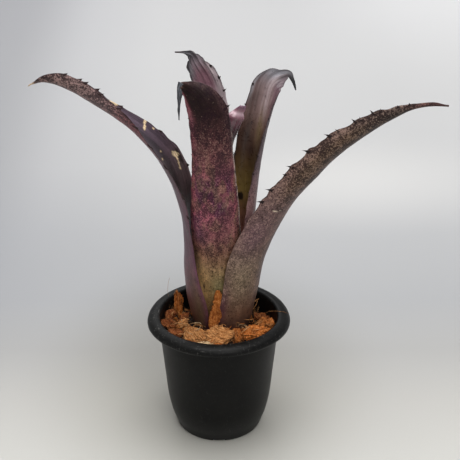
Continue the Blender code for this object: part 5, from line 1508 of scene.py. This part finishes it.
def tube(path, radius, sides=5, taper=0.35):
    """A closed thin tube along a path (mm)."""
    p = np.asarray(path, float)
    n = len(p)
    t = np.gradient(p, axis=0)
    t /= np.linalg.norm(t, axis=1)[:, None] + 1e-12
    ref = np.array([0.3, 0.2, 1.0]) if abs(t[0, 2]) < 0.8 else np.array([1.0, 0.1, 0.0])
    s = np.cross(t, ref)
    s /= np.linalg.norm(s, axis=1)[:, None] + 1e-12
    b = np.cross(t, s)
    k = np.linspace(0, 1, n)
    rad = radius * (1 - (1 - taper) * np.abs(2 * k - 1) ** 3)
    a = np.linspace(0, 2 * math.pi, sides, endpoint=False)
    v = (p[:, None, :] + (s[:, None, :] * np.cos(a)[None, :, None] + b[:, None, :] * np.sin(a)[None, :, None]) * rad[:, None, None])
    q = grid_faces(n, sides, close=True)
    j = np.arange(sides)
    c0 = n * sides
    v = np.concatenate([v.reshape(-1, 3), p[:1], p[-1:]])
    tri = np.concatenate([np.stack([np.full(sides, c0), (j + 1) % sides, j], 1),
                          np.stack([np.full(sides, c0 + 1), (n - 1) * sides + j, (n - 1) * sides + (j + 1) % sides], 1)])
    return v, q, tri


class Bag:
    """Collects small closed bodies into one mesh."""

    def __init__(self):
        self.v, self.q, self.t, self.loc, self.cav, self.tone, self.n = [], [], [], [], [], [], 0

    def put(self, v, q=(), t=(), loc=None, cav=None, tone=1.0):
        self.v.append(v)
        if len(q):
            self.q.append(np.asarray(q) + self.n)
        if len(t):
            self.t.append(np.asarray(t) + self.n)
        self.loc.append(loc if loc is not None else v)
        self.cav.append(cav if cav is not None else np.zeros(len(v)))
        self.tone.append(np.full(len(v), tone))
        self.n += len(v)

    def object(self, name, mat, slot, *nodes, welded=False):
        me = fast_mesh(name, np.concatenate(self.v) * MM, np.concatenate(self.q) if self.q else None,
                       np.concatenate(self.t) if self.t else None)
        set_attr(me, "loc", "FLOAT_VECTOR", np.concatenate(self.loc))
        set_attr(me, "cav", "FLOAT", np.concatenate(self.cav))
        set_attr(me, "tone", "FLOAT", np.concatenate(self.tone))
        if welded:
            weld(me)
        return add(name, me, mat, slot, *nodes)


def whiskers(bag, r, centre, axes, size, count, seed, length=(1.5, 4.0), radius=0.07):
    """Loose fibres standing off a chip's torn ends and faces."""
    x, y, z = axes
    L, W, T = size
    for i in range(count):
        e = 1 if r.rand() < 0.5 else -1
        if r.rand() < 0.65:
            o = x * (e * L * r.uniform(0.38, 0.5)) + y * (W * r.uniform(-0.45, 0.45)) + z * (T * r.uniform(-0.3, 0.45))
            d = x * e * r.uniform(0.5, 1.0) + y * r.uniform(-0.5, 0.5) + z * r.uniform(-0.1, 0.8)
        else:
            o = x * (L * r.uniform(-0.45, 0.45)) + y * (W * r.uniform(-0.5, 0.5)) + z * (T * 0.42)
            d = x * r.uniform(-1, 1) + y * r.uniform(-0.6, 0.6) + z * r.uniform(0.15, 0.7)
        d = d / np.linalg.norm(d)
        ln = r.uniform(*length)
        bend = r.normal(size=3) * 0.35
        k = np.linspace(0, 1, 7)[:, None]
        path = centre + o + d * (k * ln) + bend * (k ** 2) * ln * 0.6
        v, q, t = tube(path, radius * r.uniform(0.6, 1.3), 4, 0.3)
        bag.put(v, q, t, loc=v + seed)


def build_chips():
    fibres = Bag()
    for name, centre, size, along, facing, seed in CHIPS[:-1]:
        axes = chip_frame(along, facing)
        x, y, z = axes
        c = np.array(centre, float)
        grow = {8: 1.16, 9: 1.12, 10: 1.12, 6: 1.06, 15: 0.95, 21: 0.95, 7: 1.15}.get(seed, 1.05)
        size = tuple(k * grow for k in size)
        out, q, cav, loc = chip_shape(size, seed, 46 if size[0] > 12 else 32)
        w = c + out[:, :1] * x + out[:, 1:2] * y + out[:, 2:3] * z
        b = Bag()
        b.put(w, q, (), loc, cav, {6: 1.12, 8: 1.10, 10: 1.08, 9: 0.80, 7: 1.25, 3: 0.8, 2: 0.75, 15: 0.85, 21: 0.9, 1: 0.95, 4: 1.15}.get(seed, 0.85))
        slot = SLOT_OF[seed]
        b.object("chip_%02d" % seed, HUSK[slot], slot, name, welded=True)
        r = rng(300 + seed)
        whiskers(fibres, r, c, axes, size, 30 if size[0] > 12 else 16, seed, length=(1.5, 5.0), radius=0.085)
    fibres.object("chip_whiskers", HUSK["husk_fibre"], "husk_fibre")


build_chips()


def inside_leaf(x, y):
    """True where the rosette's sheaths stand, seen from above."""
    return ((x - 1.0) / 26.0) ** 2 + ((y - 11.0) / 19.5) ** 2 < 1.0


def build_crumbs():
    """Small torn bits and crumbs that fill between the chips, in three tones."""
    bags = {"husk_orange": Bag(), "husk_brown": Bag(), "husk_tan": Bag()}
    dark = Bag()
    r = rng(4242)
    made = 0
    while made < 620:
        rad = 40.0 * math.sqrt(r.rand())
        a = r.uniform(-math.pi, math.pi)
        x, y = rad * math.cos(a), rad * math.sin(a)
        if inside_leaf(x, y):
            continue
        made += 1
        front = smooth(25, -30, y)
        L = r.uniform(1.2, 3.6) * (1.35 if r.rand() < 0.25 else 1.0)
        if rad > 38.6 - L / 2:
            continue
        W, T = L * r.uniform(0.3, 0.7), L * r.uniform(0.2, 0.45)
        z = float(mix_height(x, y)) + r.uniform(0.6, 2.6) + 2.2 * float(front) * r.rand()
        v = r.normal(size=3) * np.array([1, 1, 0.45])
        f = np.array([r.normal() * 0.5, r.normal() * 0.5 - 0.3, 1.0])
        ax, ay, az = chip_frame(v, f)
        out, q, cav, loc = chip_shape((L, W, T), 1000 + made, 6)
        w = np.array([x, y, z]) + out[:, :1] * ax + out[:, 1:2] * ay + out[:, 2:3] * az
        pick = r.rand()
        if pick < 0.45:
            dark.put(w, q, (), loc, cav)
        else:
            key = "husk_brown" if pick < 0.55 else "husk_orange" if pick < 0.86 else "husk_tan"
            bags[key].put(w, q, (), loc, cav, r.uniform(0.4, 1.05))
    for k, b in bags.items():
        b.object("crumbs_" + k[5:], HUSK[k], k, welded=True)
    ob = dark.object("crumbs_dark", mix_material(), "potting_mix", welded=True)


build_crumbs()


def build_shards():
    """Middle-sized torn pieces lying every way between the chips, fewer of them along the front and the back."""
    bags = {"husk_orange": Bag(), "husk_brown": Bag(), "husk_tan": Bag()}
    fibres = Bag()
    r = rng(991)
    made = 0
    while made < 120:
        rad = 39.5 * math.sqrt(r.uniform(0.1, 1.0))
        a = r.uniform(-math.pi, math.pi)
        x, y = rad * math.cos(a), rad * math.sin(a)
        if inside_leaf(x * 0.96, y * 0.94) or (y > 0 and r.rand() < 0.35) or (y < -12 and r.rand() < 0.62):
            continue
        L = r.uniform(3.2, 7.5)
        if rad > 40.0 - L * 0.55:
            continue
        made += 1
        front = float(smooth(20, -30, y))
        W, T = L * r.uniform(0.35, 0.7), L * r.uniform(0.16, 0.40)
        z = float(mix_height(x, y)) + r.uniform(0.8, 3.4) + 1.4 * front + 1.5 * float(smooth(-15, -34, x))
        v = r.normal(size=3) * np.array([1, 1, 0.55])
        f = np.array([r.normal() * 0.7, r.normal() * 0.6 - 0.4, 0.9])
        ax, ay, az = chip_frame(v, f)
        out, q, cav, loc = chip_shape((L, W, T), 2000 + made, 14)
        c = np.array([x, y, z])
        w = c + out[:, :1] * ax + out[:, 1:2] * ay + out[:, 2:3] * az
        pick = r.rand()
        key = "husk_brown" if pick < 0.34 else "husk_orange" if pick < 0.78 else "husk_tan"
        bags[key].put(w, q, (), loc, cav, r.uniform(0.45, 1.1))
        whiskers(fibres, r, c, (ax, ay, az), (L, W, T), 4, made, length=(1.0, 3.2), radius=0.055)
    for k, b in bags.items():
        b.object("shards_" + k[5:], HUSK[k], k, welded=True)
    fibres.object("shard_whiskers", HUSK["husk_fibre"], "husk_fibre")


build_shards()


def build_scrap():
    """The torn papery husk standing in the gap between the sheaths."""
    rows = [((-1.8, -7.0, 116.6), (0.6, -7.0, 116.9)), ((-3.2, -7.2, 113.0), (2.8, -7.1, 113.0)),
            ((-3.8, -7.6, 108.5), (4.2, -7.5, 108.5)), ((-4.8, -8.3, 104.0), (4.4, -8.2, 104.0)),
            ((-6.2, -9.2, 99.5), (3.4, -9.0, 99.5)), ((-7.3, -10.2, 94.0), (1.4, -10.0, 94.0)),
            ((-7.5, -11.0, 89.0), (-0.8, -10.8, 89.0)), ((-6.4, -11.4, 84.5), (-3.0, -11.2, 84.5))]
    v, q, U, V = sheet(rows, 1.1, cols=25, per=0.35, bow=0.9, seed=3, ragged=0.22)
    bag = Bag()
    loc = np.stack([v[:, 2] * 1.0, v[:, 0] * 0.8, v[:, 1] * 0.8 + 400], 1)
    n = fbm(np.stack([v[:, 0] * 0.22, v[:, 2] * 0.13, np.full(len(v), 2.0)], 1), 4, 98)
    bag.put(v, q, (), loc, np.clip(1.1 * n + 0.5 * np.abs(U) ** 6, 0, 0.7), 0.85)
    bag.object("husk_scrap", HUSK["husk_orange"], "husk_brown", "husk_chip_22", welded=True)


build_scrap()


def build_straws():
    """The three loose straws of the CAD model, thin hairs, and the fibre across the rim."""
    for i, (dia, pts) in enumerate([(0.9, [(22.5, 25, 80), (25, 25.5, 85), (30, 26.5, 89)]),
                                    (0.8, [(24, 22, 81), (27, 21.5, 85), (29, 22.5, 90)]),
                                    (0.7, [(-34, -9, 88.4), (-29, -8, 89.2), (-23.5, -11, 89.0)])]):
        a, b, c = (np.array(p, float) for p in pts)
        t = np.linspace(0, 1, 26)[:, None]
        path = a * (1 - t) * (1 - 2 * t) + b * 4 * t * (1 - t) + c * t * (2 * t - 1)
        path = path + 0.12 * np.stack([np.sin(t[:, 0] * 19 + i), np.cos(t[:, 0] * 23), np.sin(t[:, 0] * 31)], 1)
        v, q, tr = tube(path, dia / 2, 9, 0.45)
        bag = Bag()
        bag.put(v, q, tr, loc=np.stack([t.repeat(9, 1).ravel() * 12] * 1 + [v[:-2, 1], v[:-2, 2]], 1).tolist() + v[-2:].tolist())
        bag.loc = [np.array(bag.loc[0])]
        bag.object("straw_%02d" % (i + 1), HUSK["husk_fibre"], "husk_fibre", "husk_fibre_%02d" % (i + 1))
    hairs = Bag()
    r = rng(77)
    for i in range(150):
        rad, a = 39.0 * math.sqrt(r.rand()), r.uniform(-math.pi, math.pi)
        x, y = rad * math.cos(a), rad * math.sin(a)
        if inside_leaf(x, y):
            continue
        z = float(mix_height(x, y)) + r.uniform(1.5, 6.0)
        ln = r.uniform(3, 9)
        d = np.array([r.normal(), r.normal(), abs(r.normal()) * 0.35])
        d /= np.linalg.norm(d)
        bend = r.normal(size=3) * np.array([1, 1, 0.3])
        k = np.linspace(0, 1, 9)[:, None]
        path = np.array([x, y, z]) + d * k * ln + bend * k * k * ln * 0.35
        rr = np.hypot(path[:, 0], path[:, 1])
        path[:, :2] *= np.minimum(1, 40.5 / rr)[:, None]
        v, q, tr = tube(path, r.uniform(0.05, 0.11), 4, 0.3)
        hairs.put(v, q, tr, loc=v)
    strips = {"husk_tan": Bag(), "husk_orange": Bag(), "husk_cream": Bag()}
    r = rng(515)
    for i in range(64):
        x = r.uniform(-37, 36)
        y = r.uniform(-34, 6) if x < 16 else r.uniform(-30, 0)
        if inside_leaf(x * 0.97, y * 0.97) or math.hypot(x, y) > 36.5:
            continue
        z = 88.2 + r.uniform(-0.4, 1.6) + 1.0 * float(smooth(0, -25, y))
        ln = r.uniform(3.5, 8.5)
        d = np.array([r.normal(), r.normal() * 0.8, r.normal() * 0.28])
        d /= np.linalg.norm(d)
        bend = r.normal(size=3) * np.array([1, 1, 0.5])
        k = np.linspace(-0.5, 0.5, 12)[:, None]
        path = np.array([x, y, z]) + d * k * ln + bend * (k * k) * ln * 0.45
        rr = np.hypot(path[:, 0], path[:, 1])
        path[:, :2] *= np.minimum(1, 40.5 / rr)[:, None]
        v, q, tr = tube(path, r.uniform(0.16, 0.42), 7, 0.35)
        mid = path.mean(0)
        v = mid + (v - mid) * np.array([1, 1, 0.8])
        key = ("husk_tan", "husk_tan", "husk_orange", "husk_cream")[r.randint(4)]
        axis = np.stack([(v - mid) @ d, v[:, 1] * 0.9, v[:, 2] * 0.9], 1) + i * 13.0
        strips[key].put(v, q, tr, loc=axis, tone=r.uniform(0.7, 1.1))
    for key, bag in strips.items():
        bag.object("strips_" + key[5:], HUSK[key], key)
    # a hair that stands up behind the left of the rosette, one that lies over the rim at the right
    for pts, rad in (([(-37.5, 24, 88), (-38.6, 25, 96), (-38.0, 26, 103), (-36.8, 26, 108)], 0.10),
                     ([(33.5, 6.5, 88.5), (38, 5.0, 91.6), (43.5, 3.6, 92.3), (48.5, 3.0, 92.0), (51.3, 3.2, 90.3)], 0.14),
                     ([(-26, 20, 84), (-29, 24, 92), (-33, 27, 96)], 0.09),
                     ([(-24, -12.5, 88.5), (-20, -10.2, 90.8), (-15, -10.2, 90.4), (-9, -14, 89.6)], 0.12),
                     ([(22, -12, 88), (25, -20, 91.0), (27.5, -27, 90.5)], 0.10)):
        p = np.array(pts, float)
        k = np.linspace(0, len(p) - 1, 22)
        path = np.stack([np.interp(k, np.arange(len(p)), p[:, c]) for c in range(3)], 1)
        for _ in range(3):
            path[1:-1] = (path[:-2] + 2 * path[1:-1] + path[2:]) / 4
        v, q, tr = tube(path, rad, 5, 0.4)
        hairs.put(v, q, tr, loc=v)
    hairs.object("husk_hairs", HUSK["husk_fibre"], "husk_fibre")


build_straws()


# dry thread at the left leaf's tip
def build_thread():
    p = np.array(LEFT_THREAD)
    k = np.linspace(0, len(p) - 1, 16)
    path = np.stack([np.interp(k, np.arange(len(p)), p[:, c]) for c in range(3)], 1)
    for _ in range(2):
        path[1:-1] = (path[:-2] + 2 * path[1:-1] + path[2:]) / 4
    v, q, tr = tube(path, 0.42, 8, 0.15)
    bag = Bag()
    bag.put(v, q, tr, loc=v)
    bag.object("leaf_left_thread", HUSK["husk_cream"], "leaf_bronze")


build_thread()
